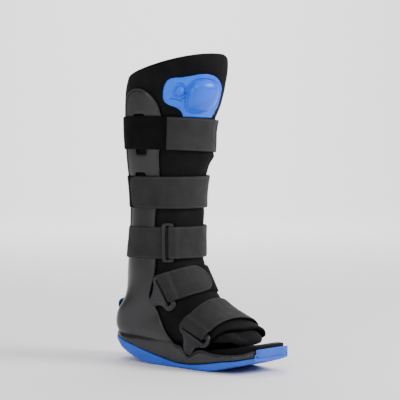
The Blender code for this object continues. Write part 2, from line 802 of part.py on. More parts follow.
def end_shares(course, degrees, corner):
    """Angles just inside an end whose corners are rounded, and the share of the width at each."""
    radius = course.reach(STRAP_ROWS // 2, degrees, 0.0)
    half = course.strap.width / 2
    shares = []
    for i in range(CORNER_STEPS + 1):
        inside = corner * i / CORNER_STEPS
        width = half - corner + math.sqrt(max(0.0, corner ** 2 - (corner - inside) ** 2))
        shares.append((math.degrees(inside / radius), width / half))
    return shares


def open_band(course, name, first, last, low, high, where, look, round_first=0.0, round_last=0.0, roll=0.0,
              hold=0.0, skew=0.0):
    """A strap from one angle to another. Its ends may have rounded corners, or the first may roll over a
    loop's bar, which takes it up by roll over the angle hold, and lie aslant."""
    start = [(first + a, s) for a, s in end_shares(course, first, round_first)] if round_first else [(first, 1.0)]
    stop = [(last - a, s) for a, s in end_shares(course, last, round_last)] if round_last else [(last, 1.0)]
    if roll:
        start += [(first + hold + ROLL_DROP_DEG * k / 3, 1.0) for k in range(4)]
    middle = []
    angle = (math.floor(start[-1][0] / STRAP_STEP_DEG) + 1) * STRAP_STEP_DEG
    while angle < stop[-1][0] - 1.0:
        middle.append((angle, 1.0))
        angle += STRAP_STEP_DEG
    rings = []
    for degrees, share in start + middle + list(reversed(stop)):
        rise = roll * (1 - smooth((degrees - first - hold) / ROLL_DROP_DEG))
        lean = skew * (1 - min(1.0, max(0.0, degrees - first - hold) / SKEW_FADE_DEG))
        rings.append(course.section(degrees, low + rise, high + rise, share, lean))
    return loft(name, rings, where, look)


def rounded(half_u, half_v, corner):
    """An outline of a rectangle with rounded corners, round the middle."""
    edges = []
    for su, sv, first in ((1, 1, 0), (-1, 1, 90), (-1, -1, 180), (1, -1, 270)):
        for step in range(4):
            angle = math.radians(first + 30 * step)
            u = su * (half_u - corner) + corner * math.cos(angle)
            v = sv * (half_v - corner) + corner * math.sin(angle)
            edges.append(Edge(u, v, True))
    return edges


def make_ankle_loop(course, where, low):
    """The rectangular loop at the lower shin, bent with the strap that it lies on."""
    flat = outline([rounded(*ANKLE_LOOP_HALF, LOOP_CORNER), rounded(*ANKLE_SLOT_HALF, LOOP_CORNER / 3)], 1)
    net(flat, 1.0, LOOP_NET)
    radius = course.reach(STRAP_ROWS // 2, ANKLE_LOOP_DEG, low)

    def bent(grow):
        return lambda u, v: course.point(v, ANKLE_LOOP_DEG + math.degrees(u / radius), grow)

    return bent_plate("ankle_loop", flat, bent(low), bent(low + LOOP_THICK), where, BLACK_LOOP)


def make_side_loop(name, course, edges, slot, where):
    """A loop plate on the near side: its slot holds the strap, and its foot reaches down to the shell's edge."""
    flat = outline([edges, [e._replace(sharp=True) for e in slot]], 2)
    net(flat, LOOP_NET, LOOP_NET)

    def bent(grow):
        return lambda u, v: course.point(*course.beside(u, v, grow), grow)

    return bent_plate(name, flat, bent(LOOP_CLEAR), bent(LOOP_CLEAR + LOOP_THICK), where, BLACK_LOOP)


def make_anchor(name, course, degrees, low, where):
    """The plain round rivet that holds a strap's far end to the shell."""
    flat = bmesh.new()
    bmesh.ops.create_circle(flat, cap_ends=True, segments=12, radius=ANCHOR_RADIUS)
    radius = course.reach(STRAP_ROWS // 2, degrees, low)

    def bent(grow):
        return lambda u, v: course.point(v, degrees + math.degrees(u / radius), grow)

    return bent_plate(name, flat, bent(low), bent(low + ANCHOR_THICK), where, BLACK_LOOP)


def make_pump_panel(where):
    """The blue moulded panel of the air pump, bent round the near flap."""
    flat = outline([[Edge(e.u * ARC, e.v, e.sharp) for e in PUMP_PANEL]], 2)
    net(flat, PANEL_NET, PANEL_NET)

    def bent(grow):
        return lambda u, v: leg_at(u / ARC, v, grow)

    return bent_plate("pump_panel", flat, bent(PANEL_CLEAR), bent(PANEL_CLEAR + PANEL_THICK), where, BLUE_PUMP)


def make_dome(name, centre, half_deg, half_high, rise, where, square=2.4):
    """A soft round button or bulb that stands on the pump's panel."""
    floor = PANEL_CLEAR + PANEL_THICK + DOME_CLEAR

    def ring(share, height):
        points = []
        for k in range(DOME_SIDES):
            angle = 2 * math.pi * k / DOME_SIDES
            c, s = math.cos(angle), math.sin(angle)
            u = half_deg * share * math.copysign(abs(c) ** (2 / square), c)
            v = half_high * share * math.copysign(abs(s) ** (2 / square), s)
            points.append(leg_at(centre[0] + u, centre[1] + v, floor + height))
        return points

    below = [ring(share, 0.0) for share in DOME_UNDER_SHARES]
    above = [ring(share, rise * (1 - share ** 3) ** 0.7) for share in DOME_OVER_SHARES]
    return loft(name, below + above, where, BLUE_PUMP)


def make_toe_cover(where):
    """The dark fabric that closes the liner's mouth over the toes, a thin bulging cap."""
    def rings(inset):
        made = []
        for t in TOE_STATIONS:
            ring = []
            for k in range(AROUND):
                degrees = 360.0 * k / AROUND
                past = t - liner_row(MOUTH, degrees)
                above = smooth((math.cos(math.radians(degrees)) + 0.6) / 1.2)
                swell = TOE_SWELL * above * smooth((past - 0.15) / 0.6)
                ring.append(leg_point(t, degrees, swell - TOE_WALL - TOE_CLEAR - inset))
            made.append(ring)
        rim = made[-1]
        middle = sum(rim, Vector()) / AROUND
        for ahead, share in TOE_BULGE:
            push = Vector((ahead - inset, 0.0, -ahead * TOE_DROP))
            made.append([middle + (p - middle) * share + push for p in rim])
        return made

    outer = rings(0.0)
    inner = rings(TOE_CLOTH)
    return loft("toe_cover", list(reversed(inner)) + outer, where, BLACK_FOAM)


def make_heel_loop(where):
    """The small pull loop at the back of the heel: a band bent into a half ring between two feet."""
    path = [Vector((HEEL_LOOP_TOP[0], 0.0, HEEL_LOOP_TOP[1]))]
    for step in range(7):
        angle = math.radians(90 + 30 * step)
        turned = Vector((math.cos(angle), 0.0, math.sin(angle)))
        path.append(Vector((HEEL_LOOP_X, 0.0, HEEL_LOOP_Z)) + turned * HEEL_LOOP_RADIUS)
    path.append(Vector((HEEL_LOOP_FOOT[0], 0.0, HEEL_LOOP_FOOT[1])))
    rings = []
    for i, p in enumerate(path):
        along = (path[min(i + 1, len(path) - 1)] - path[max(i - 1, 0)]).normalized()
        out = along.cross(LEFT) * (HEEL_LOOP_THICK / 2)
        side = LEFT * HEEL_LOOP_HALF
        rings.append([p - out - side, p + out - side, p + out + side, p - out + side])
    return loft("heel_loop", rings, where, NAVY_LOOP)


def make_straps(where, bodies):
    """The five straps, each a band with its grey end over it, and the loops that they run through."""
    base = STRAP_CLEAR + BASE_THICK
    over = base + GAP
    top = over + END_THICK
    calf = Course(CALF, bodies)
    loop_band(calf, "calf_strap", STRAP_CLEAR, base, where, BLACK_PILE)
    open_band(calf, "calf_strap_end", *CALF_END_DEG, over, top, where, GREY_WEBBING)
    shin = Course(SHIN, bodies)
    loop_band(shin, "shin_strap", STRAP_CLEAR, base, where, BLACK_PILE)
    open_band(shin, "shin_strap_end", *SHIN_END_DEG, over, top, where, GREY_WEBBING, round_first=CORNER)
    ankle = Course(ANKLE, bodies)
    loop_band(ankle, "ankle_strap", STRAP_CLEAR, base, where, BLACK_PILE)
    make_ankle_loop(ankle, where, over)
    open_band(ankle, "ankle_strap_end", ANKLE_LOOP_DEG + 1.0, ANKLE_END_LAST_DEG, over, top, where, GREY_WEBBING,
              roll=LOOP_THICK + 2.2 * GAP, hold=ROLL_HOLD_DEG)
    instep = Course(INSTEP, bodies)
    make_side_loop("instep_loop", instep, INSTEP_LOOP, INSTEP_SLOT, where)
    start, skew = instep.aslant(*INSTEP_SLOT_MIDDLE)
    clear = instep.past(INSTEP_BAR_FRONT, skew) + BAR_CLEAR_DEG
    open_band(instep, "instep_strap", clear, INSTEP_LAST_DEG, STRAP_CLEAR, base, where, BLACK_PILE, skew=skew)
    open_band(instep, "instep_strap_end", start, INSTEP_END_LAST_DEG, over, top, where, GREY_WEBBING,
              round_last=INSTEP_TIP, roll=PLATE_ROLL, hold=clear - start, skew=skew)
    make_anchor("instep_anchor", instep, INSTEP_ANCHOR_DEG, base + GAP, where)
    forefoot = Course(FOREFOOT, bodies)
    make_side_loop("forefoot_loop", forefoot, FOREFOOT_LOOP, FOREFOOT_SLOT, where)
    start, skew = forefoot.aslant(*FOREFOOT_SLOT_MIDDLE)
    clear = forefoot.past(FOREFOOT_BAR_FRONT, skew) + BAR_CLEAR_DEG
    open_band(forefoot, "forefoot_strap", clear, FOREFOOT_LAST_DEG, STRAP_CLEAR, base, where, BLACK_PILE, skew=skew)
    open_band(forefoot, "forefoot_strap_end", start, FOREFOOT_END_LAST_DEG, over, top, where, GREY_WEBBING,
              roll=PLATE_ROLL, hold=clear - start, skew=skew)
    make_anchor("forefoot_anchor", forefoot, FOREFOOT_ANCHOR_DEG, base + GAP, where)


def main():
    """Builds every piece."""
    clear_scene()
    boot = collection("walking_boot")
    cutters = collection("cutters")
    make_sole(boot, cutters)
    loft("footbed", [footbed_ring(r) for r in FOOTBED_ROWS], boot, BLACK_FOAM)
    liner = make_liner(boot)
    shell = make_shell(boot, cutters)
    make_toe_cover(boot)
    make_heel_loop(boot)
    make_pump_panel(boot)
    make_dome("pump_bulb", BULB_CENTRE, BULB_HALF_DEG, BULB_HALF_HIGH, BULB_RISE, boot)
    make_dome("valve_button", BUTTON_CENTRE, BUTTON_RADIUS / ARC, BUTTON_RADIUS, BUTTON_RISE, boot, 2.0)
    make_straps(boot, (liner, shell))
    for piece in boot.objects:
        piece.data.transform(Matrix.Translation(-BOX_CENTRE))


main()
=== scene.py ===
"""Looks of a tall medical walking boot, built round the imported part."""

from __future__ import annotations

import json
import logging
import math
from dataclasses import dataclass
from enum import Enum
from functools import lru_cache
from math import copysign, cos, exp, hypot, pi, radians, sin, sqrt
from typing import Callable, NamedTuple, Sequence

import bmesh
import bpy
from bmesh.types import BMesh, BMVert
from bpy.types import ID, Material, Node, NodeSocket, NodeTree, Object
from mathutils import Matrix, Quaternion, Vector, noise
from mathutils.bvhtree import BVHTree

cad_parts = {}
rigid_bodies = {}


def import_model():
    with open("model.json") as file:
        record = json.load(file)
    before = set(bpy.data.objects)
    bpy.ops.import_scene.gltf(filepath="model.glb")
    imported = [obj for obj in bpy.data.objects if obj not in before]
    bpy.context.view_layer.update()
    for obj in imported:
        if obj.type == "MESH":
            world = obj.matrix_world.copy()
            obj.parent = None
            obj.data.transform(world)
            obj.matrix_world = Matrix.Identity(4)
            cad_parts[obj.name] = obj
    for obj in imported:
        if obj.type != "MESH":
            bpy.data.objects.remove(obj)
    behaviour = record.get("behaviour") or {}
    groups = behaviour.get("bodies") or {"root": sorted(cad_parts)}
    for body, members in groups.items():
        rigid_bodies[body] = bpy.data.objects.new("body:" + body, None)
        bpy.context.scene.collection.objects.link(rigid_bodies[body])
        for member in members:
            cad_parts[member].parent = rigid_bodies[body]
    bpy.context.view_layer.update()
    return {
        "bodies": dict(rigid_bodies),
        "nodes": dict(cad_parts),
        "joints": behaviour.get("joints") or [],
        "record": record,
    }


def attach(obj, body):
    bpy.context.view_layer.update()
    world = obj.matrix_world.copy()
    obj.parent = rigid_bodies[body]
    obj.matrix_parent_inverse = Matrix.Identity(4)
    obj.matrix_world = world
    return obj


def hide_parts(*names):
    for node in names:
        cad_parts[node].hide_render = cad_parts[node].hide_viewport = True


LOG = logging.getLogger("walking_boot")
MM = 0.001
UP = Vector((0.0, 0.0, 1.0))
LEFT = Vector((0.0, 1.0, 0.0))
BOX_CENTRE = Vector((0.0532, 0.0, 0.0))
PICTURE_PIXELS = 400.0
SENSOR_MM = 36.0

Colour = tuple[float, float, float]
Place = Callable[[float, float], Vector]


class Station(NamedTuple):
    """A section of the liner's outside, from its front (or instep) point to its back (or sole) point."""

    front_x: float
    front_z: float
    back_x: float
    back_z: float
    side: float
    split: float
    square: float


class SoleRow(NamedTuple):
    """A row of a slab under the foot: its place along the foot, half width, underside and top."""

    x: float
    half: float
    under: float
    top: float


class Edge(NamedTuple):
    """A point of an outline, and whether the outline turns sharply there."""

    u: float
    v: float
    sharp: bool = False


class Lamp(NamedTuple):
    """A square area light: its place and aim, from the leg's axis, its side and its power."""

    name: str
    place: tuple[float, float, float]
    aim: tuple[float, float, float]
    size: float
    watts: float


class Lay(Enum):
    """What a strap surface shows on its outside."""

    PILE = "looped pile"
    WEBBING = "flat webbing"


def table(kind: type, *rows: tuple) -> tuple:
    """Rows of one kind, with its columns' names."""
    return tuple(kind(*row) for row in rows)


def edges(*points: tuple) -> tuple[Edge, ...]:
    """An outline through points of u and v, and True where it turns sharply."""
    return table(Edge, *points)


STATIONS = table(
    Station,
    (0.0905, 0.4215, -0.0440, 0.386, 0.0640, 0.46, 2.2),
    (0.0870, 0.390, -0.0510, 0.368, 0.0645, 0.47, 2.2),
    (0.0790, 0.356, -0.0550, 0.346, 0.0605, 0.49, 2.2),
    (0.0640, 0.324, -0.0555, 0.322, 0.0560, 0.50, 2.2),
    (0.0645, 0.290, -0.0545, 0.290, 0.0545, 0.50, 2.2),
    (0.0565, 0.262, -0.0515, 0.262, 0.0500, 0.50, 2.2),
    (0.0510, 0.235, -0.0462, 0.235, 0.0460, 0.50, 2.2),
    (0.0525, 0.206, -0.0465, 0.206, 0.0450, 0.50, 2.2),
    (0.0505, 0.172, -0.0475, 0.170, 0.0445, 0.50, 2.2),
    (0.0520, 0.143, -0.0528, 0.132, 0.0445, 0.50, 2.2),
    (0.0640, 0.125, -0.0555, 0.088, 0.0440, 0.48, 2.3),
    (0.0760, 0.1095, -0.0670, 0.062, 0.0430, 0.46, 2.4),
    (0.0865, 0.0970, -0.0620, 0.038, 0.0410, 0.42, 2.6),
    (0.0940, 0.0880, -0.0200, 0.0325, 0.0410, 0.40, 2.8),
    (0.1040, 0.0800, 0.0350, 0.0268, 0.0415, 0.38, 2.8),
    (0.1190, 0.0725, 0.0850, 0.0265, 0.0420, 0.38, 2.8),
    (0.1360, 0.0650, 0.1220, 0.0290, 0.0400, 0.40, 2.6),
    (0.1520, 0.0585, 0.1480, 0.0325, 0.0360, 0.42, 2.4),
)
MOUTH = float(len(STATIONS) - 1)
SOLE_ROWS = table(
    SoleRow,
    (-0.0745, 0.0140, 0.0315, 0.0360),
    (-0.0720, 0.0240, 0.0300, 0.0355),
    (-0.0650, 0.0330, 0.0265, 0.0335),
    (-0.0500, 0.0405, 0.0180, 0.0290),
    (-0.0350, 0.0435, 0.0115, 0.0255),
    (-0.0120, 0.0445, 0.0034, 0.0200),
    (0.0090, 0.0445, 0.0000, 0.0150),
    (0.0200, 0.0445, 0.0000, 0.0125),
    (0.0450, 0.0455, 0.0000, 0.0080),
    (0.0650, 0.0465, 0.0000, 0.0060),
    (0.0900, 0.0480, 0.0000, 0.0070),
    (0.1150, 0.0480, 0.0005, 0.0105),
    (0.1370, 0.0460, 0.0045, 0.0145),
    (0.1580, 0.0425, 0.0098, 0.0172),
    (0.1750, 0.0385, 0.0146, 0.0208),
    (0.1868, 0.0345, 0.0182, 0.0238),
    (0.1878, 0.0336, 0.0186, 0.0340),
    (0.1902, 0.0308, 0.0205, 0.0345),
    (0.1918, 0.0275, 0.0228, 0.0343),
)
SOLE_LIP = 0.1873
FOOTBED_ROWS = table(
    SoleRow,
    (0.0550, 0.0330, 0.0215, 0.0255),
    (0.0900, 0.0340, 0.0212, 0.0252),
    (0.1180, 0.0335, 0.0230, 0.0275),
    (0.1420, 0.0320, 0.0225, 0.0310),
    (0.1600, 0.0310, 0.0238, 0.0350),
    (0.1740, 0.0300, 0.0265, 0.0378),
    (0.1864, 0.0262, 0.0318, 0.0384),
)
SHELL_SIDE = edges(
    (0.1862, -0.010, True), (0.1862, 0.0325, True), (0.1740, 0.0275), (0.1580, 0.0245),
    (0.1250, 0.0238), (0.1030, 0.0270), (0.0895, 0.0215), (0.0815, 0.0168), (0.0740, 0.0222),
    (0.0665, 0.0285), (0.0550, 0.0310), (0.0400, 0.0440), (0.0290, 0.0600), (0.0200, 0.0760),
    (0.0100, 0.0900), (0.0125, 0.1040), (0.0180, 0.1220), (0.0200, 0.1450), (0.0195, 0.1960),
    (0.0270, 0.2400), (0.0320, 0.2800), (0.0395, 0.3350), (0.0350, 0.3590), (0.0110, 0.3735),
    (-0.0150, 0.3640), (-0.0240, 0.3400), (-0.0260, 0.3000), (-0.0280, 0.2500), (-0.0310, 0.2000),
    (-0.0370, 0.1650), (-0.0520, 0.1380), (-0.0700, 0.1280), (-0.1000, 0.1260, True),
    (-0.1000, -0.0100, True),
)
INSTEP_LOOP = edges(
    (0.0494, 0.0867), (0.0504, 0.0820), (0.0474, 0.0774), (0.0424, 0.0746), (0.0374, 0.0763),
    (0.0335, 0.0802), (0.0279, 0.0821), (0.0176, 0.0793), (0.0139, 0.0823), (0.0130, 0.0873),
    (0.0180, 0.0996), (0.0198, 0.1090), (0.0202, 0.1174), (0.0224, 0.1211), (0.0275, 0.1232),
    (0.0319, 0.1225), (0.0400, 0.1075),
)
INSTEP_SLOT = edges(
    (0.0234, 0.1154, True), (0.0264, 0.1182, True), (0.0454, 0.0853, True), (0.0407, 0.0808, True),
)
INSTEP_SLOT_MIDDLE = edges(
    (0.0259, 0.1173), (0.0434, 0.0836),
)
INSTEP_BAR_FRONT = edges(
    (0.0319, 0.1225), (0.0494, 0.0867),
)
FOREFOOT_LOOP = edges(
    (0.1184, 0.0458), (0.1186, 0.0409), (0.1165, 0.0347), (0.1110, 0.0319), (0.1021, 0.0319),
    (0.0961, 0.0297), (0.0925, 0.0257), (0.0887, 0.0213), (0.0829, 0.0202), (0.0769, 0.0247),
    (0.0740, 0.0311), (0.0738, 0.0390), (0.0705, 0.0460), (0.0655, 0.0508), (0.0641, 0.0556),
    (0.0664, 0.0605), (0.0712, 0.0632), (0.0760, 0.0638), (0.1165, 0.0480),
)
FOREFOOT_SLOT = edges(
    (0.0685, 0.0544, True), (0.0718, 0.0586, True), (0.1144, 0.0421, True), (0.1112, 0.0367, True),
)
FOREFOOT_SLOT_MIDDLE = edges(
    (0.0708, 0.0577), (0.1140, 0.0409),
)
FOREFOOT_BAR_FRONT = edges(
    (0.0740, 0.0642), (0.1168, 0.0477),
)
PUMP_PANEL = edges(
    (-63.3, 0.3650), (-62.8, 0.3736), (-61.1, 0.3808), (-57.6, 0.3862), (-52.2, 0.3881),
    (-45.0, 0.3885), (-36.2, 0.3899), (-18.1, 0.3928), (-9.4, 0.3920), (-2.0, 0.3890), (3.4, 0.3832),
    (7.8, 0.3748), (8.8, 0.3662), (7.4, 0.3444), (5.7, 0.3347, True), (-33.4, 0.3369, True),
    (-37.8, 0.3431), (-44.0, 0.3480), (-58.1, 0.3542), (-62.0, 0.3584),
)


def smooth(share: float) -> float:
    """A soft step from 0 to 1."""
    share = min(max(share, 0.0), 1.0)
    return share * share * (3 - 2 * share)


def spline_value(values: Sequence[float], t: float) -> float:
    """A smooth value through a row of values.

    Args:
        values: The row of values.
        t: The position, counted in values.

    Returns:
        The value at t.
    """
    last = len(values) - 1
    i = min(int(max(t, 0.0)), last - 1)
    f = t - i
    a, b, c, d = (values[min(max(k, 0), last)] for k in (i - 1, i, i + 1, i + 2))
    return b + 0.5 * f * (c - a + f * (2 * a - 5 * b + 4 * c - d + f * (3 * (b - c) + d - a)))


def by_x(rows: Sequence[SoleRow], column: str, x: float) -> float:
    """A column's value at x, smooth between the rows.

    Args:
        rows: Rows in order of x.
        column: The column's name.
        x: The place along the foot.

    Returns:
        The value there.
    """
    values = [getattr(r, column) for r in rows]
    for i, (low, high) in enumerate(zip(rows, rows[1:])):
        if x <= high.x:
            share = max(0.0, (x - low.x) / (high.x - low.x))
            straight = values[i] * (1 - share) + values[i + 1] * share
            return 0.5 * straight + 0.5 * spline_value(values, i + share)
    return values[-1]


def deselect_all() -> None:
    """Leaves nothing selected, in object mode."""
    if bpy.context.object and bpy.context.object.mode != "OBJECT":
        bpy.ops.object.mode_set(mode="OBJECT")
    bpy.ops.object.select_all(action="DESELECT")


def select_only(obj: Object) -> None:
    """Makes one object the selected and active one.

    Args:
        obj: The object.
    """
    deselect_all()
    obj.select_set(True)
    bpy.context.view_layer.objects.active = obj


def apply_modifiers(obj: Object) -> None:
    """Applies every modifier of an object, in order.

    Args:
        obj: The object.
    """
    select_only(obj)
    for modifier in list(obj.modifiers):
        bpy.ops.object.modifier_apply(modifier=modifier.name)


def linked(name: str, data: ID) -> Object:
    """A new object for a mesh, curve, light or camera, linked to the scene.

    Args:
        name: The name.
        data: What it shows.

    Returns:
        The object.
    """
    obj = bpy.data.objects.new(name, data)
    bpy.context.scene.collection.objects.link(obj)
    return obj


def remove(*objects: Object) -> None:
    """Removes helper objects."""
    for obj in objects:
        bpy.data.objects.remove(obj)


def from_bmesh(name: str, bm: BMesh) -> Object:
    """Makes an object of a bmesh with its faces pointing outwards.

    Args:
        name: The object's name.
        bm: The bmesh, which is freed.

    Returns:
        The new object.
    """
    bmesh.ops.recalc_face_normals(bm, faces=bm.faces)
    if bm.calc_volume(signed=True) < 0:
        bmesh.ops.reverse_faces(bm, faces=bm.faces)
    mesh = bpy.data.meshes.new(name)
    bm.to_mesh(mesh)
    bm.free()
    return linked(name, mesh)


def loft(
    name: str,
    rings: Sequence[Sequence[Vector]],
    cyclic: bool = False,
    along: Sequence[float] | None = None,
    across: Sequence[float] | None = None,
) -> Object:
    """A closed solid through rings of equal count.

    Args:
        name: The object's name.
        rings: The rings, each a closed row of points.
        cyclic: Whether the last ring joins the first; otherwise both ends are capped.
        along: The U of each ring in metres, with one more value when cyclic.
        across: The V of each point of a ring, with one more value for the way back to the first.

    Returns:
        The new object, with a UV map when along and across are given.
    """
    bm = bmesh.new()
    layer = bm.loops.layers.uv.new("cloth") if along else None
    made = [[bm.verts.new(p) for p in ring] for ring in rings]
    count = len(made)
    size = len(made[0])
    for i in range(count if cyclic else count - 1):
        for k in range(size):
            corners = ((i, k), (i, k + 1), (i + 1, k + 1), (i + 1, k))
            face = bm.faces.new([made[a % count][b % size] for a, b in corners])
            if layer:
                for loop, (a, b) in zip(face.loops, corners):
                    loop[layer].uv = (along[a], across[b])
    if not cyclic:
        bm.faces.new(list(reversed(made[0])))
        bm.faces.new(made[-1])
    return from_bmesh(name, bm)


def smooth_shade(obj: Object, degrees: float = 35.0) -> None:
    """Smooth shading, broken at edges sharper than an angle."""
    select_only(obj)
    bpy.ops.object.shade_smooth_by_angle(angle=radians(degrees))


def bevel(obj: Object, width: float, segments: int = 2, degrees: float = 40.0) -> None:
    """Rounds the sharp edges of an object.

    Args:
        obj: The object.
        width: The width of the rounding.
        segments: How many steps it has.
        degrees: The least angle of an edge that is rounded.
    """
    modifier = obj.modifiers.new("rounding", "BEVEL")
    modifier.width = width
    modifier.segments = segments
    modifier.limit_method = "ANGLE"
    modifier.angle_limit = radians(degrees)
    modifier.harden_normals = False
    apply_modifiers(obj)


def boolean(obj: Object, cutter: Object, operation: str) -> None:
    """Joins, cuts or trims an object with a helper, which is removed.

    Args:
        obj: The object that changes.
        cutter: The helper.
        operation: UNION, DIFFERENCE or INTERSECT.
    """
    modifier = obj.modifiers.new("form", "BOOLEAN")
    modifier.operation = operation
    modifier.object = cutter
    modifier.solver = "EXACT"
    apply_modifiers(obj)
    remove(cutter)


def box(place: Sequence[float], size: Sequence[float]) -> Object:
    """Adds a box by its middle and its size.

    Args:
        place: Its middle.
        size: Its size along each axis.

    Returns:
        The box, with its place in its mesh.
    """
    deselect_all()
    bpy.ops.mesh.primitive_cube_add(size=1.0, location=place, scale=size)
    made = bpy.context.object
    bpy.ops.object.transform_apply(location=True, rotation=True, scale=True)
    return made


def subdivide(obj: Object) -> None:
    """Rounds a closed form by one level of subdivision.

    Args:
        obj: The object.
    """
    fine = obj.modifiers.new("fine", "SUBSURF")
    fine.levels = 1
    fine.render_levels = 1
    apply_modifiers(obj)


def mould(obj: Object, voxel: float, rounds: int) -> None:
    """Makes a solid one even skin with softened edges, as it comes out of a mould.

    Args:
        obj: The solid.
        voxel: The size of the skin's faces.
        rounds: How often the skin is relaxed.
    """
    remesh = obj.modifiers.new("skin", "REMESH")
    remesh.mode = "VOXEL"
    remesh.voxel_size = voxel
    remesh.use_smooth_shade = True
    relax = obj.modifiers.new("relax", "SMOOTH")
    relax.factor = 0.5
    relax.iterations = rounds
    apply_modifiers(obj)
    select_only(obj)
    bpy.ops.object.shade_smooth()


def flat_outline(edges: Sequence[Sequence[Edge]], resolution: int) -> BMesh:
    """A flat filled outline with smooth and sharp points.

    Args:
        edges: The outline and then its holes.
        resolution: Points of the curve between two given points.

    Returns:
        A bmesh in the XY plane.
    """
    curve = bpy.data.curves.new("outline", "CURVE")
    curve.dimensions = "2D"
    curve.fill_mode = "BOTH"
    curve.resolution_u = resolution
    for loop in edges:
        spline = curve.splines.new("BEZIER")
        spline.bezier_points.add(len(loop) - 1)
        for point, edge in zip(spline.bezier_points, loop):
            point.co = (edge.u, edge.v, 0.0)
            kind = "VECTOR" if edge.sharp else "AUTO"
            point.handle_left_type = kind
            point.handle_right_type = kind
        spline.use_cyclic_u = True
    helper = linked("outline", curve)
    bpy.context.view_layer.update()
    graph = bpy.context.evaluated_depsgraph_get()
    mesh = bpy.data.meshes.new_from_object(helper.evaluated_get(graph))
    bm = bmesh.new()
    bm.from_mesh(mesh)
    remove(helper)
    bmesh.ops.remove_doubles(bm, verts=bm.verts, dist=1e-6)
    return bm


def outline_points(edges: Sequence[Edge], resolution: int) -> list[Vector]:
    """The rim of an outline as a row of flat points, in order.

    Args:
        edges: The outline.
        resolution: Points of the curve between two given points.

    Returns:
        The rim's points.
    """
    bm = flat_outline([edges], resolution)
    edge = next(e for e in bm.edges if e.is_boundary)
    start = edge.verts[0]
    here = edge.verts[1]
    row = [start.co.copy()]
    while here != start:
        row.append(here.co.copy())
        edge = next(e for e in here.link_edges if e.is_boundary and e != edge)
        here = edge.other_vert(here)
    bm.free()
    return row


def net(bm: BMesh, pitch: float) -> None:
    """Cuts a flat bmesh along a net of lines, so that it can bend.

    Args:
        bm: The flat bmesh.
        pitch: The distance between the lines.
    """
    for axis in (0, 1):
        values = [v.co[axis] for v in bm.verts]
        for k in range(math.ceil(min(values) / pitch), math.floor(max(values) / pitch) + 1):
            point = Vector((0, 0, 0))
            normal = Vector((0, 0, 0))
            point[axis] = k * pitch
            normal[axis] = 1.0
            everything = list(bm.verts) + list(bm.edges) + list(bm.faces)
            bmesh.ops.bisect_plane(bm, geom=everything, plane_co=point, plane_no=normal, dist=1e-6)
    bmesh.ops.triangulate(bm, faces=bm.faces)


def distance_to(lines: Sequence[Sequence[Vector]], u: float, v: float, closed: bool = True) -> float:
    """How far a flat point lies from the nearest of some lines.

    Args:
        lines: The lines, each a row of flat points.
        u: The point's first coordinate.
        v: Its second one.
        closed: Whether each line runs back to its first point.

    Returns:
        The distance.
    """
    best = 1.0
    for line in lines:
        for a, b in zip(line, list(line[1:]) + ([line[0]] if closed else [])):
            du, dv = b.x - a.x, b.y - a.y
            long = du * du + dv * dv
            share = 0.0 if long == 0 else max(0.0, min(1.0, ((u - a.x) * du + (v - a.y) * dv) / long))
            best = min(best, hypot(u - a.x - share * du, v - a.y - share * dv))
    return best


def bent_plate(name: str, bm: BMesh, under: Place, over: Place) -> Object:
    """A solid between two bent copies of a flat bmesh.

    Args:
        name: The object's name.
        bm: The flat bmesh, which is freed.
        under: Gives the lower point for two flat coordinates.
        over: Gives the upper point.

    Returns:
        The new object.
    """
    bm.verts.index_update()
    flat = [v.co.copy() for v in bm.verts]
    faces = [[v.index for v in f.verts] for f in bm.faces]
    rim = [[v.index for v in e.verts] for e in bm.edges if e.is_boundary]
    bm.free()
    made = bmesh.new()
    low = [made.verts.new(under(p.x, p.y)) for p in flat]
    high = [made.verts.new(over(p.x, p.y)) for p in flat]
    for face in faces:
        made.faces.new([high[i] for i in face])
        made.faces.new([low[i] for i in reversed(face)])
    for a, b in rim:
        made.faces.new((low[a], low[b], high[b], high[a]))
    return from_bmesh(name, made)


def tube(name: str, path: Sequence[Vector], radius: float, closed: bool, sides: int = 8) -> Object:
    """A round bead along a path, as a mesh.

    Args:
        name: The object's name.
        path: The points of its middle line.
        radius: Its radius.
        closed: Whether it closes on itself.
        sides: How many sides its section has.

    Returns:
        The new object.
    """
    rings = []
    count = len(path)
    for i, point in enumerate(path):
        ahead = path[(i + 1) % count] if closed or i + 1 < count else path[i]
        behind = path[i - 1] if closed or i else path[i]
        along = (ahead - behind).normalized()
        side = along.cross(LEFT)
        side = (side if side.length > 0.1 else along.cross(UP)).normalized()
        other = along.cross(side)
        turns = [2 * pi * k / sides for k in range(sides)]
        rings.append([point + (side * cos(a) + other * sin(a)) * radius for a in turns])
    return loft(name, rings, cyclic=closed)


def join(main: Object, *others: Object) -> Object:
    """Joins objects into the first one.

    Args:
        main: The object that stays.
        others: The objects that go into it.

    Returns:
        The joined object.
    """
    deselect_all()
    for obj in (main, *others):
        obj.select_set(True)
    bpy.context.view_layer.objects.active = main
    bpy.ops.object.join()
    return main


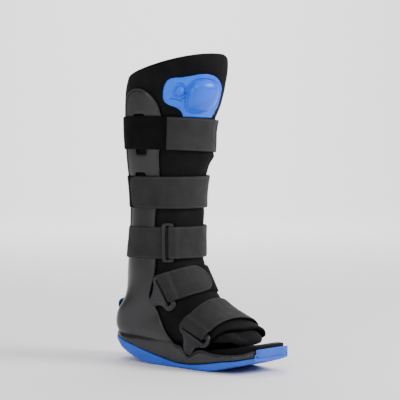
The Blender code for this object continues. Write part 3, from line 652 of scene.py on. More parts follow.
@dataclass(frozen=True)
class LegForm:
    """The smooth outside of the liner: a leg and a foot swept through the stations.

    Attributes:
        firm_start: The station from which a firm form's lower corners grow squarer.
        front_square: How square the front half of a section is.
        last_upper: The last station of the leg proper.
        flap_edge: Where the near flap ends, in degrees from the front.
        flap_rise: Over how many degrees the near flap rises.
        flap_lift: How far its edge stands up.
    """

    firm_start: float = 9.5
    front_square: float = 2.2
    last_upper: float = 9.0
    flap_edge: float = 12.0
    flap_rise: float = 48.0
    flap_lift: float = 2.6 * MM

    @lru_cache(maxsize=None)
    def row(self, t: float) -> tuple:
        """The middle, the way ahead, the two reaches, the half width and the squareness of a section.

        Args:
            t: The station.

        Returns:
            The section's measures.
        """
        values = [spline_value([s[k] for s in STATIONS], t) for k in range(len(Station._fields))]
        front = Vector((values[0], 0.0, values[1]))
        back = Vector((values[2], 0.0, values[3]))
        long = (front - back).length
        ahead = (front - back) / long
        split = values[5]
        middle = back + ahead * long * split
        return middle, ahead, long * (1 - split), long * split, values[4], values[6]

    def point(self, t: float, degrees: float, grow: float = 0.0, firm: float = 0.0) -> Vector:
        """A point of the outside.

        Args:
            t: The station.
            degrees: The angle from the front, towards the left.
            grow: How far the form is grown outwards.
            firm: How much squarer the lower corners are.

        Returns:
            The point, measured from the leg's axis.
        """
        centre, ahead, front, back, side, square = self.row(t)
        angle = radians(degrees)
        c, s = cos(angle), sin(angle)
        power = 2 / (self.front_square if c > 0 else square + firm * smooth((t - self.firm_start) / 2))
        along = ((front if c > 0 else back) + grow) * copysign(abs(c) ** power, c)
        sideways = (side + grow) * copysign(abs(s) ** power, s)
        return centre + ahead * along + LEFT * sideways

    def lift(self, t: float, degrees: float) -> float:
        """How far the near flap, which laps over the other at the front, stands above the plain liner.

        Args:
            t: The station.
            degrees: The angle from the front.

        Returns:
            The height above the plain liner.
        """
        if t >= self.last_upper or degrees > self.flap_edge:
            return 0.0
        rise = smooth((degrees + self.flap_rise) / self.flap_rise)
        return self.flap_lift * rise * min(1.0, self.last_upper - t)

    def upper(self, degrees: float, height: float, grow: float) -> Vector:
        """The point over the liner's upper part at an angle and a height, grown outwards.

        Args:
            degrees: The angle from the front.
            height: The height.
            grow: How far it is grown outwards.

        Returns:
            The point, measured from the leg's axis.
        """
        low, high = 0.0, self.last_upper
        for _ in range(16):
            middle = (low + high) / 2
            if self.point(middle, degrees).z > height:
                low = middle
            else:
                high = middle
        return self.point(low, degrees, grow + self.lift(low, min(degrees, self.flap_edge)))


LEG = LegForm()


def leg_solid(name: str, grow: float, first: float, beyond: float = 0.0, firm: float = 0.0) -> Object:
    """A fine solid of the leg and foot, grown outwards, for cutting and joining.

    Args:
        name: The helper's name.
        grow: How far it is grown.
        first: The first station.
        beyond: How far both ends run on.
        firm: How much squarer the lower corners are.

    Returns:
        The helper, measured from the leg's axis.
    """
    around, step = 72, 0.25
    count = int(round((MOUTH - first) / step))
    places = [first + i * step for i in range(count + 1)]
    rings = [[LEG.point(t, 360.0 * k / around, grow, firm) for k in range(around)] for t in places]
    if beyond:
        rings.insert(0, [p + UP * beyond for p in rings[0]])
        rings.append([p + Vector((beyond, 0.0, 0.0)) for p in rings[-1]])
    return loft(name, rings)


@dataclass(frozen=True)
class Strap:
    """A strap's course, with angles in degrees.

    Attributes:
        x: Where its middle line passes inside the leg or foot.
        z: The height there.
        tilt: How far it leans forwards.
        width: Its width.
        roll: How much lower it lies on the far side.
    """

    x: float
    z: float
    tilt: float
    width: float
    roll: float = 0.0


CALF = Strap(0.004, 0.3122, 0.0, 0.0440, 3.0)
SHIN = Strap(0.002, 0.2346, 0.0, 0.0432)
ANKLE = Strap(0.001, 0.1660, 1.0, 0.0430)
INSTEP = Strap(0.0242, 0.1005, 22.0, 0.0400)
FOREFOOT = Strap(0.0978, 0.0555, 56.5, 0.0465, 13.0)


def turn(a: Sequence[float], b: Sequence[float], c: Sequence[float]) -> float:
    """Positive where the way from a over b to c turns left."""
    return (b[0] - a[0]) * (c[1] - a[1]) - (b[1] - a[1]) * (c[0] - a[0])


def taut_ring(points: Sequence[Vector]) -> list[Vector]:
    """The corners of a taut loop round flat points, counter-clockwise.

    Args:
        points: The flat points.

    Returns:
        The loop's corners.
    """
    ordered = sorted({(round(p.x, 6), round(p.y, 6)) for p in points})
    ring = []
    for run in (ordered, list(reversed(ordered))):
        half = []
        for p in run:
            while len(half) > 1 and turn(half[-2], half[-1], p) <= 0:
                half.pop()
            half.append(p)
        ring += half[:-1]
    return [Vector(p) for p in ring]


class Course:
    """The way a strap takes round the liner and the shell, as smooth rows of distances from its middle."""

    ROWS = 4
    BLUR_DEG = 5

    def __init__(self, strap: Strap, bodies: Sequence[Object]) -> None:
        """Measures the course.

        Args:
            strap: The strap.
            bodies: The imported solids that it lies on.
        """
        tilt = radians(strap.tilt)
        self.strap = strap
        self.centre = Vector((strap.x, 0.0, strap.z))
        roll = Quaternion((1.0, 0.0, 0.0), -radians(strap.roll))
        self.across = roll @ Vector((-sin(tilt), 0.0, cos(tilt)))
        self.ahead = roll @ Vector((cos(tilt), 0.0, sin(tilt)))
        self.left = roll @ LEFT
        half = strap.width / 2
        offsets = [half * (2 * i / (self.ROWS - 1) - 1) for i in range(self.ROWS)]
        self.reaches = [self._blurred(self._sides(bodies, o)) for o in offsets]

    def _sides(self, bodies: Sequence[Object], offset: float) -> list[tuple[Vector, float]]:
        """The straight sides of the taut outline in one plane: outward direction and distance of each."""
        point = self.centre + self.across * offset
        flat = []
        for body in bodies:
            bm = bmesh.new()
            bm.from_mesh(body.data)
            bmesh.ops.transform(bm, matrix=body.matrix_world, verts=bm.verts)
            bmesh.ops.translate(bm, vec=BOX_CENTRE, verts=bm.verts)
            everything = list(bm.verts) + list(bm.edges) + list(bm.faces)
            cut = bmesh.ops.bisect_plane(bm, geom=everything, plane_co=point, plane_no=self.across, dist=1e-7)
            found = [v.co - point for v in cut["geom_cut"] if isinstance(v, BMVert)]
            flat += [Vector((p.dot(self.ahead), p.dot(self.left))) for p in found]
            bm.free()
        ring = taut_ring(flat)
        sides = []
        for a, b in zip(ring, ring[1:] + ring[:1]):
            normal = Vector((b.y - a.y, a.x - b.x)).normalized()
            sides.append((normal, normal.dot(a)))
        return sides

    def _blurred(self, sides: Sequence[tuple[Vector, float]]) -> list[float]:
        """The distance at every whole degree, with the corners of the facets rounded away."""
        plain = []
        for degrees in range(360):
            ray = Vector((cos(radians(degrees)), sin(radians(degrees))))
            plain.append(min(d / n.dot(ray) for n, d in sides if n.dot(ray) > 1e-6))
        wide = range(-self.BLUR_DEG, self.BLUR_DEG + 1)
        return [sum(plain[(i + k) % 360] for k in wide) / len(wide) for i in range(360)]

    def reach(self, row: int, degrees: float) -> float:
        """How far the outline of a row lies from the middle at an angle from the front.

        Args:
            row: The row across the width.
            degrees: The angle from the front.

        Returns:
            The distance.
        """
        low = math.floor(degrees)
        share = degrees - low
        return self.reaches[row][low % 360] * (1 - share) + self.reaches[row][(low + 1) % 360] * share

    def point(self, offset: float, degrees: float, grow: float) -> Vector:
        """A point on the strap's course.

        Args:
            offset: The place across the width, from its middle line.
            degrees: The angle from the front.
            grow: The distance out from the bodies.

        Returns:
            The point, measured from the leg's axis.
        """
        place = (offset / self.strap.width + 0.5) * (self.ROWS - 1)
        row = min(max(int(place), 0), self.ROWS - 2)
        share = place - row
        out = self.reach(row, degrees) * (1 - share) + self.reach(row + 1, degrees) * share + grow
        angle = radians(degrees)
        ray = self.ahead * cos(angle) + self.left * sin(angle)
        return self.centre + self.across * offset + ray * out

    def beside(self, x: float, z: float, grow: float) -> tuple[float, float]:
        """The place on the near side that is seen at x and z from the side: offset and angle.

        Args:
            x: The place along the boot.
            z: The height.
            grow: How far it is grown outwards.

        Returns:
            The offset and the angle.
        """
        y = 0.0
        for _ in range(5 if self.strap.roll else 1):
            place = Vector((x, y, z)) - self.centre
            offset, ahead = place.dot(self.across), place.dot(self.ahead)
            low, high = -180.0, 0.0
            for _ in range(22):
                middle = (low + high) / 2
                if (self.point(offset, middle, grow) - self.centre).dot(self.ahead) < ahead:
                    low = middle
                else:
                    high = middle
            y = self.point(offset, low, grow).y
        return offset, low

    def aslant(self, above: Edge, below: Edge, grow: float) -> tuple[float, float]:
        """The angle at which a line seen from the side crosses the strap's middle, and its slant.

        Args:
            above: The line's upper point.
            below: Its lower point.
            grow: How far it is grown outwards.

        Returns:
            The angle at the middle, and the slant for each metre of width.
        """
        (v1, a1), (v2, a2) = (self.beside(e.u, e.v, grow) for e in (above, below))
        slant = (a2 - a1) / (v2 - v1)
        return a1 - slant * v1, slant

    def past(self, corners: Sequence[Edge], slant: float, grow: float) -> float:
        """The least angle at which a slanting end clears some corners seen from the side."""
        return max(a - slant * v for v, a in (self.beside(e.u, e.v, grow) for e in corners))


@dataclass(frozen=True)
class Layer:
    """The heights above the bodies between which a band lies."""

    low: float
    high: float


@dataclass
class Band:
    """One strap layer: where it begins and ends, how its ends are shaped and how it climbs over a loop's bar.

    Attributes:
        name: The piece's name, which is its CAD node's name.
        layer: The heights between which it lies.
        first: The angle where it starts, in degrees from the front.
        last: The angle where it ends, or None where it goes all the way round.
        round_first: Corner radius at the start.
        round_last: Corner radius at the end.
        roll: How far the bar lifts the start.
        hold: For how many degrees it stays lifted.
        skew: How aslant the start lies, in degrees for each metre of width.
        seam: The angle after which a second layer is sewn on, or None.
        crown: How much the middle of its width stands out.
    """

    name: str
    layer: Layer
    first: float = 0.0
    last: float | None = None
    round_first: float = 0.0
    round_last: float = 0.0
    roll: float = 0.0
    hold: float = 0.0
    skew: float = 0.0
    seam: float | None = None
    crown: float = 0.35 * MM

    STEP_DEG = 2.5
    DROP_DEG = 5.0
    FADE_DEG = 35.0
    SEAM_STEP = 0.5 * MM
    CUT = 0.4 * MM
    EDGE_THIN = 0.36
    SHARES = (-1.0, -0.985, -0.95, -0.9, -0.75, -0.5, -0.25, 0.0, 0.25, 0.5, 0.75, 0.9, 0.95, 0.985, 1.0)

    def _end_shares(self, course: Course, degrees: float, corner: float) -> list[tuple[float, float]]:
        """Angles just inside a rounded end and the share of the width at each."""
        radius = course.reach(course.ROWS // 2, degrees)
        half = course.strap.width / 2
        shares = []
        for i in range(9):
            inside = corner * (1 - cos(pi / 2 * i / 8))
            width = half - corner + sqrt(max(0.0, corner ** 2 - (corner - inside) ** 2))
            shares.append((math.degrees(inside / radius), width / half))
        return shares

    def _places(self, course: Course) -> list[tuple[float, float]]:
        """The angle and the share of the width of every ring."""
        if self.last is None:
            count = int(360 / self.STEP_DEG)
            return [(i * self.STEP_DEG, 1.0) for i in range(count)]
        first = self._end_shares(course, self.first, self.round_first or self.CUT)
        last = self._end_shares(course, self.last, self.round_last or self.CUT)
        start = [(self.first + a, s) for a, s in first]
        stop = [(self.last - a, s) for a, s in last]
        angle = start[-1][0] + self.STEP_DEG
        middle = []
        while angle < stop[-1][0] - self.STEP_DEG / 2:
            middle.append((angle, 1.0))
            if self.seam is not None and angle < self.seam < angle + self.STEP_DEG:
                middle += [(self.seam, 1.0), (self.seam + 0.25, 1.0)]
            angle += self.STEP_DEG
        return start + middle + list(reversed(stop))

    def build(self, course: Course) -> Object:
        """Makes the band.

        Args:
            course: The way it takes.

        Returns:
            The piece, with U along the strap and V across it, in metres.
        """
        half = course.strap.width / 2
        places = self._places(course)
        rings, along = [], []
        radius = course.reach(course.ROWS // 2, 0.0)
        for degrees, share in places:
            climb = 0.0
            if self.roll:
                climb = self.roll * (1 - smooth((degrees - self.first - self.hold) / self.DROP_DEG))
            lean = self.skew * (1 - min(1.0, max(0.0, degrees - self.first - self.hold) / self.FADE_DEG))
            extra = self.SEAM_STEP if self.seam is not None and degrees > self.seam + 0.1 else 0.0
            inner, outer = [], []
            for s in self.SHARES:
                offset = half * share * s
                edge = smooth((abs(s) - 0.93) / 0.07)
                thin = (self.layer.high - self.layer.low) * self.EDGE_THIN * edge
                angle = degrees + lean * offset
                swell = self.crown * (1 - s * s)
                inner.append(course.point(offset, angle, self.layer.low + climb + thin))
                outer.append(course.point(offset, angle, self.layer.high + climb + swell + extra - thin))
            rings.append([p - BOX_CENTRE for p in inner + list(reversed(outer))])
            along.append(radians(degrees) * radius)
        offsets = [half * s for s in self.SHARES]
        across = offsets + list(reversed(offsets)) + [offsets[0]]
        if self.last is None:
            along.append(2 * pi * radius)
        return loft(self.name, rings, cyclic=self.last is None, along=along, across=across)


class Sheet:
    """Places nodes in a tree and wires them, from left to right."""

    def __init__(self, tree: NodeTree) -> None:
        """Takes the tree to work in."""
        self.tree = tree
        self.column = 0

    def wire(self, source: object, target: NodeSocket) -> None:
        """Links a socket to an input, or sets the input to a number or colour.

        Args:
            source: The socket, number or colour.
            target: The input.
        """
        if isinstance(source, NodeSocket):
            self.tree.links.new(source, target)
        elif source is not None:
            target.default_value = source

    def fill(self, node: Node, values: dict[str | int, object]) -> Node:
        """Wires or sets several inputs of a node.

        Args:
            node: The node.
            values: A socket, number or colour for each input's name or number.

        Returns:
            The node.
        """
        for key, value in values.items():
            self.wire(value, node.inputs[key])
        return node

    def add(self, kind: str, values: dict[str | int, object] | None = None, **settings: object) -> Node:
        """Adds a node.

        Args:
            kind: The node's type, without the prefix that all shader nodes share.
            values: What goes into its inputs.
            settings: Its properties.

        Returns:
            The node.
        """
        node = self.tree.nodes.new(kind if kind.startswith("Node") else f"ShaderNode{kind}")
        node.location = (self.column * 190.0, 0.0)
        self.column += 1
        for key, value in settings.items():
            setattr(node, key, value)
        return self.fill(node, values or {})

    def math(self, operation: str, a: object, b: object = 0.0) -> NodeSocket:
        """The result of a Math node on sockets or numbers."""
        return self.add("Math", {0: a, 1: b}, operation=operation).outputs[0]

    def times(self, a: object, b: object) -> NodeSocket:
        """The product of two sockets or numbers."""
        return self.math("MULTIPLY", a, b)

    def plus(self, a: object, b: object) -> NodeSocket:
        """The sum of two sockets or numbers."""
        return self.math("ADD", a, b)

    def blend(self, share: object, first: object, second: object) -> NodeSocket:
        """The mix of two colours, which may be sockets, by a share."""
        first, second = (c if isinstance(c, NodeSocket) else rgba(c) for c in (first, second))
        return self.add("Mix", {0: share, 6: first, 7: second}, data_type="RGBA").outputs[2]

    def spread(self, value: NodeSocket, low: float, high: float,
               to: tuple[float, float] = (0.0, 1.0)) -> NodeSocket:
        """A value mapped from one range to another, clamped."""
        return self.add("MapRange", {0: value, 1: low, 2: high, 3: to[0], 4: to[1]}).outputs[0]

    def noise(self, vector: NodeSocket, scale: object, detail: float, rough: float) -> NodeSocket:
        """The value of a noise texture."""
        values = {"Vector": vector, "Scale": scale, "Detail": detail, "Roughness": rough}
        return self.add("TexNoise", values).outputs["Fac"]

    def cells(self, vector: NodeSocket, scale: object) -> NodeSocket:
        """The distance to the nearest cell's middle in a Voronoi texture."""
        return self.add("TexVoronoi", {"Vector": vector, "Scale": scale}, feature="F1").outputs["Distance"]

    def parts(self, vector: NodeSocket) -> Sequence[NodeSocket]:
        """The three parts of a vector."""
        return self.add("SeparateXYZ", {0: vector}).outputs

    def group(self, tree: NodeTree, vector: NodeSocket, **scales: float) -> Sequence[NodeSocket]:
        """Places a group, fed by a vector, with its own scales.

        Args:
            tree: The group.
            vector: What feeds its first input.
            scales: A value for each other input that differs from the group's own.

        Returns:
            The group's outputs.
        """
        named = {key.replace("_", " ").title(): value for key, value in scales.items()}
        return self.fill(self.add("Group", node_tree=tree), {0: vector, **named}).outputs

    def bump(self, shader: Node, height: NodeSocket, distance: float, strength: float) -> None:
        """Feeds a height to a shader's normal."""
        node = self.add("Bump", {"Distance": distance, "Strength": strength, "Height": height})
        self.wire(node.outputs[0], shader.inputs["Normal"])


def new_group(name: str, vector: str, scales: dict[str, float], outputs: Sequence[str]) -> tuple:
    """Starts a shader node group.

    Args:
        name: The group's name.
        vector: The name of its vector input.
        scales: Name and default of each number that it takes.
        outputs: The names of its value outputs.

    Returns:
        The group, a sheet to work on, its given sockets and its output node.
    """
    tree = bpy.data.node_groups.new(name, "ShaderNodeTree")
    tree.interface.new_socket(vector, in_out="INPUT", socket_type="NodeSocketVector")
    for label, value in scales.items():
        tree.interface.new_socket(label, in_out="INPUT", socket_type="NodeSocketFloat").default_value = value
    for label in outputs:
        tree.interface.new_socket(label, in_out="OUTPUT", socket_type="NodeSocketFloat")
    sheet = Sheet(tree)
    return tree, sheet, sheet.add("NodeGroupInput").outputs, sheet.add("NodeGroupOutput")


@lru_cache(maxsize=None)
def grain_group() -> NodeTree:
    """Moulded grain: a fine pebbled height, and a broad tone for uneven gloss and colour.

    Returns:
        The group.
    """
    scales = {"Grain Scale": 900.0, "Tone Scale": 22.0}
    tree, sheet, given, out = new_group("moulded_grain", "Vector", scales, ("Height", "Tone"))
    place, grain = given["Vector"], given["Grain Scale"]
    fine = sheet.times(sheet.noise(place, grain, 2.0, 0.5), 0.5)
    height = sheet.plus(fine, sheet.times(sheet.cells(place, grain), 0.5))
    tone = sheet.noise(place, given["Tone Scale"], 4.0, 0.6)
    sheet.fill(out, {"Height": height, "Tone": sheet.spread(tone, 0.3, 0.7)})
    return tree


@lru_cache(maxsize=None)
def weave_group() -> NodeTree:
    """Flat webbing: threads that pass over and under each other along a strap's own U and V, in metres.

    Returns:
        The group.
    """
    scales = {"Threads Along": 700.0, "Threads Across": 1100.0}
    tree, sheet, given, out = new_group("flat_weave", "UV", scales, ("Height", "Thread"))
    parts = sheet.parts(given["UV"])
    u, v = sheet.times(parts[0], given["Threads Along"]), sheet.times(parts[1], given["Threads Across"])
    weft, warp = (sheet.math("ABSOLUTE", sheet.math("SINE", sheet.times(way, pi))) for way in (u, v))
    turns = sheet.plus(sheet.math("FLOOR", u), sheet.math("FLOOR", v))
    over = sheet.math("ABSOLUTE", sheet.math("MODULO", turns, 2.0))
    height = sheet.plus(sheet.times(warp, over), sheet.times(weft, sheet.math("SUBTRACT", 1.0, over)))
    sheet.fill(out, {"Height": height, "Thread": over})
    return tree


@lru_cache(maxsize=None)
def nap_group() -> NodeTree:
    """Brushed loops: a fuzzy height, and patches where the nap lies another way.

    Returns:
        The group.
    """
    scales = {"Loop Scale": 1400.0, "Patch Scale": 30.0}
    tree, sheet, given, out = new_group("brushed_nap", "Vector", scales, ("Height", "Patch"))
    place, loops = given["Vector"], given["Loop Scale"]
    height = sheet.plus(sheet.noise(place, loops, 4.0, 0.7), sheet.times(sheet.cells(place, loops), 0.6))
    patch = sheet.noise(place, given["Patch Scale"], 4.0, 0.6)
    sheet.fill(out, {"Height": height, "Patch": sheet.spread(patch, 0.35, 0.65)})
    return tree


@lru_cache(maxsize=None)
def dust_group() -> NodeTree:
    """Handling dust and scuffs: scattered specks and short scratches as one mask.

    Returns:
        The group.
    """
    tree, sheet, given, out = new_group("handling_dust", "Vector", {"Speck Scale": 260.0}, ("Mask",))
    specks = sheet.spread(sheet.noise(given["Vector"], given["Speck Scale"], 5.0, 0.75), 0.62, 0.78)
    cloud = sheet.spread(sheet.noise(given["Vector"], 14.0, 3.0, 0.6), 0.4, 0.7)
    sheet.fill(out, {"Mask": sheet.times(specks, cloud)})
    return tree


def rgba(colour: Sequence[float]) -> tuple[float, float, float, float]:
    """A colour with full alpha."""
    return (colour[0], colour[1], colour[2], 1.0)


def started(name: str) -> tuple[Material, Sheet, Node, NodeSocket]:
    """Starts a material.

    Args:
        name: Its name.

    Returns:
        The material, a sheet to work on, its Principled shader and its Object coordinates.
    """
    made = bpy.data.materials.new(name)
    made.use_nodes = True
    made.node_tree.nodes.clear()
    sheet = Sheet(made.node_tree)
    place = sheet.add("TexCoord").outputs["Object"]
    shader = sheet.add("BsdfPrincipled")
    sheet.add("OutputMaterial", {0: shader.outputs[0]})
    return made, sheet, shader, place


@dataclass(frozen=True)
class Moulded:
    """A moulded plastic or rubber finish.

    Attributes:
        name: The material's name.
        colour: Its base colour.
        deep: The colour of its darker patches.
        rough: Its least and greatest roughness.
        grain: The scale of its pebbled grain.
        relief: The depth of the grain in metres.
        coat: Its clear coat.
        gloss: How strongly it mirrors.
        dusty: How far dust turns the colour pale, and how much rougher it makes it.
    """

    name: str
    colour: Colour
    deep: Colour
    rough: tuple[float, float]
    grain: float = 1100.0
    relief: float = 0.00006
    coat: float = 0.0
    gloss: float = 0.25
    dusty: tuple[float, float] = (0.35, 0.12)

    @lru_cache(maxsize=None)
    def material(self) -> Material:
        """Builds the material once and gives it again after that.

        Returns:
            The material.
        """
        made, sheet, shader, place = started(self.name)
        grain = sheet.group(grain_group(), place, grain_scale=self.grain)
        dust = sheet.group(dust_group(), place)["Mask"]
        body = sheet.blend(grain["Tone"], self.deep, self.colour)
        pale = tuple(min(1.0, c * 1.25 + 0.012) for c in self.colour)
        rough = sheet.spread(grain["Tone"], 0.0, 1.0, (self.rough[1], self.rough[0]))
        sheet.fill(shader, {
            "Base Color": sheet.blend(sheet.times(dust, self.dusty[0]), body, pale),
            "Roughness": sheet.plus(rough, sheet.times(dust, self.dusty[1])),
            "Specular IOR Level": self.gloss,
            "Coat Weight": self.coat,
            "Coat Roughness": 0.3,
        })
        sheet.bump(shader, grain["Height"], self.relief, 0.6)
        return made


@dataclass(frozen=True)
class Woven:
    """Flat webbing with sewn edges, laid along a strap's own U and V.

    Attributes:
        name: The material's name.
        colour: The thread's colour.
        deep: The colour between the threads, where it is painted shade in the weave's hollows, and of the darker
            nap patches and streaks.
        half: Half the strap's width in metres.
        lay: Whether the outside is pile or webbing.
        span: The stretch of U in metres that shows webbing, or None; the rest takes the pile's darkest colour, as
            painted shade where it shows in the ankle ring's slot.
        stitch: The colour of the edge stitches.
        seam: How far the stitches lie from the edge, and half their width.
        dash: How fast the stitches follow each other, and where each ends.
        streaks: How fine the streaks along the strap are across and along it.
    """

    name: str
    colour: Colour
    deep: Colour
    half: float
    lay: Lay = Lay.WEBBING
    span: tuple[float, float] | None = None
    stitch: Colour = (0.034, 0.034, 0.035)
    seam: tuple[float, float] = (2.2 * MM, 0.35 * MM)
    dash: tuple[float, float] = (2200.0, -0.45)
    streaks: Colour = (620.0, 22.0, 0.0)

    @lru_cache(maxsize=None)
    def material(self) -> Material:
        """Builds the material once and gives it again after that.

        Returns:
            The material.
        """
        made, sheet, shader, place = started(self.name)
        webbing = self.lay is Lay.WEBBING
        cloth = sheet.add("UVMap", uv_map="cloth").outputs[0]
        nap = sheet.group(nap_group(), place, loop_scale=1900.0, patch_scale=42.0)
        weave = sheet.group(weave_group(), cloth)
        u, v, _ = sheet.parts(cloth)
        inset = sheet.math("SUBTRACT", self.half - self.seam[0], sheet.math("ABSOLUTE", v))
        row = sheet.math("LESS_THAN", sheet.math("ABSOLUTE", inset), self.seam[1])
        dash = sheet.math("GREATER_THAN", sheet.math("SINE", sheet.times(u, self.dash[0])), self.dash[1])
        stitches = sheet.times(sheet.times(row, dash), float(webbing))
        # The threads' height also sets the colour: painted shade in the hollows between the threads.
        thread = sheet.times(weave["Height"], 0.55 if webbing else 0.12)
        stretched = sheet.add("VectorMath", {0: cloth, 1: self.streaks}, operation="MULTIPLY").outputs[0]
        streaks = sheet.spread(sheet.noise(stretched, 1.0, 2.0, 0.5), 0.35, 0.65)
        shade = sheet.plus(thread, sheet.times(nap["Patch"], 0.18))
        shade = sheet.plus(shade, sheet.times(streaks, 0.22))
        body = sheet.blend(stitches, sheet.blend(shade, self.deep, self.colour), self.stitch)
        # Outside the span the band takes the pile's darkest colour. In the ankle ring's slot this is painted
        # shade; elsewhere it lies hidden under the strap's end.
        if self.span is not None:
            after = sheet.math("GREATER_THAN", u, self.span[0])
            before = sheet.math("LESS_THAN", u, self.span[1])
            body = sheet.blend(sheet.times(after, before), PILE_DEEP_AND_SLOT_SHADE, body)
        sheet.fill(shader, {
            "Base Color": body,
            "Roughness": sheet.spread(nap["Patch"], 0.0, 1.0, (0.86, 0.68)),
            "Specular IOR Level": 0.22 if webbing else 0.08,
            "Sheen Weight": 0.03 if webbing else 0.01,
            "Sheen Roughness": 0.45,
        })
        relief = sheet.plus(thread, sheet.times(nap["Height"], 0.35))
        sheet.bump(shader, sheet.plus(relief, sheet.times(stitches, 0.9)), 0.00022, 0.7)
        return made


@dataclass(frozen=True)
class Padding:
    """The liner's brushed cloth over foam.

    Attributes:
        name: The material's name.
        colour: The cloth's colour.
        deep: The colour where the nap lies away.
        rough: Its least and greatest roughness.
        sheen: How much the nap catches the light.
        quilt: The depth of the soft creases in metres.
    """

    name: str
    colour: Colour
    deep: Colour
    rough: tuple[float, float]
    sheen: float
    quilt: float

    @lru_cache(maxsize=None)
    def material(self) -> Material:
        """Builds the material once and gives it again after that.

        Returns:
            The material.
        """
        made, sheet, shader, place = started(self.name)
        nap = sheet.group(nap_group(), place, loop_scale=1700.0, patch_scale=26.0)
        dust = sheet.group(dust_group(), place, speck_scale=420.0)["Mask"]
        body = sheet.blend(nap["Patch"], self.deep, self.colour)
        lint = tuple(c * 3.0 + 0.01 for c in self.colour)
        sheet.fill(shader, {
            "Base Color": sheet.blend(sheet.times(dust, 0.25), body, lint),
            "Roughness": sheet.spread(nap["Patch"], 0.0, 1.0, (self.rough[1], self.rough[0])),
            "Specular IOR Level": 0.1,
            "Sheen Weight": self.sheen,
            "Sheen Roughness": 0.5,
        })
        height = sheet.plus(sheet.noise(place, 55.0, 3.0, 0.5), sheet.times(nap["Height"], 0.12))
        sheet.bump(shader, height, self.quilt, 0.5)
        return made


SHELL_PLASTIC = Moulded(
    "shell_plastic", (0.0115, 0.0110, 0.0114), (0.0085, 0.0081, 0.0085), (0.27, 0.38), 1300.0, 0.00006, gloss=0.42
)
# Also dresses the shell's lip. There its lighter colour is a painted highlight along the shell's edge, together
# with edge wear.
LOOP_PLASTIC_AND_LIP_HIGHLIGHT = Moulded("loop_plastic", (0.022, 0.022, 0.0235), (0.017, 0.017, 0.018), (0.34, 0.46), 1500.0, 5e-5)
SOLE_RUBBER = Moulded("sole_rubber", (0.024, 0.105, 0.56), (0.018, 0.088, 0.48), (0.42, 0.6), 900.0, 8e-5)
PUMP_RUBBER = Moulded("pump_rubber", (0.012, 0.142, 0.84), (0.010, 0.128, 0.76), (0.3, 0.42), 1600.0, 4e-5, 0.05)
BULB_RUBBER = Moulded("bulb_rubber", (0.010, 0.115, 0.75), (0.008, 0.103, 0.68), (0.24, 0.34), 1800.0, 3e-5, 0.1)
NAVY_BAND = Moulded("navy_band", (0.02, 0.045, 0.19), (0.012, 0.025, 0.11), (0.4, 0.55), 1200.0, 5e-5)
FOOTBED_FOAM = Padding("footbed_foam", (0.006, 0.006, 0.0065), (0.004, 0.004, 0.0045), (0.7, 0.85), 0.02, 2e-4)
LINER_CLOTH = Padding("liner_cloth", (0.0050, 0.0050, 0.0056), (0.0030, 0.0030, 0.0035), (0.78, 0.92), 0.01, 7e-4)
TOE_CLOTH = Padding("toe_cloth", (0.0085, 0.0085, 0.0092), (0.0045, 0.0045, 0.0052), (0.72, 0.9), 0.03, 1.2e-3)
PILE_BLACK = (0.0024, 0.0024, 0.0029)
# Also painted over the ankle band beyond its ring, as painted shade in the ring's slot.
PILE_DEEP_AND_SLOT_SHADE = (0.0015, 0.0015, 0.0019)
WEB_GREY = (0.0200, 0.0196, 0.0203)
WEB_DEEP = (0.0100, 0.0099, 0.0104)


def dress(piece: Object, material: Material) -> None:
    """Gives a piece one material."""
    piece.data.materials.clear()
    piece.data.materials.append(material)


def hand_over(piece: Object, nodes: Sequence[str]) -> Object:
    """Makes a piece part of the boot.

    Args:
        piece: The finished piece.
        nodes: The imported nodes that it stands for.

    Returns:
        The piece.
    """
    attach(piece, "root")
    if nodes:
        piece.name = f"boot_{nodes[0]}"
        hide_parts(*nodes)
    stands_for = ", ".join(nodes) or "nothing packed"
    LOG.info("%s: %d faces, for %s", piece.name, len(piece.data.polygons), stands_for)
    return piece


def complete(piece: Object, material: Material, degrees: float | None = None) -> Object:
    """Shades a piece, moves it from the leg's axis to the boot's frame and gives it its material.

    Args:
        piece: The piece, measured from the leg's axis.
        material: Its material.
        degrees: The angle above which an edge stays sharp, or None to leave the shading.

    Returns:
        The piece.
    """
    if degrees is not None:
        smooth_shade(piece, degrees)
    for vertex in piece.data.vertices:
        vertex.co -= BOX_CENTRE
    dress(piece, material)
    return piece


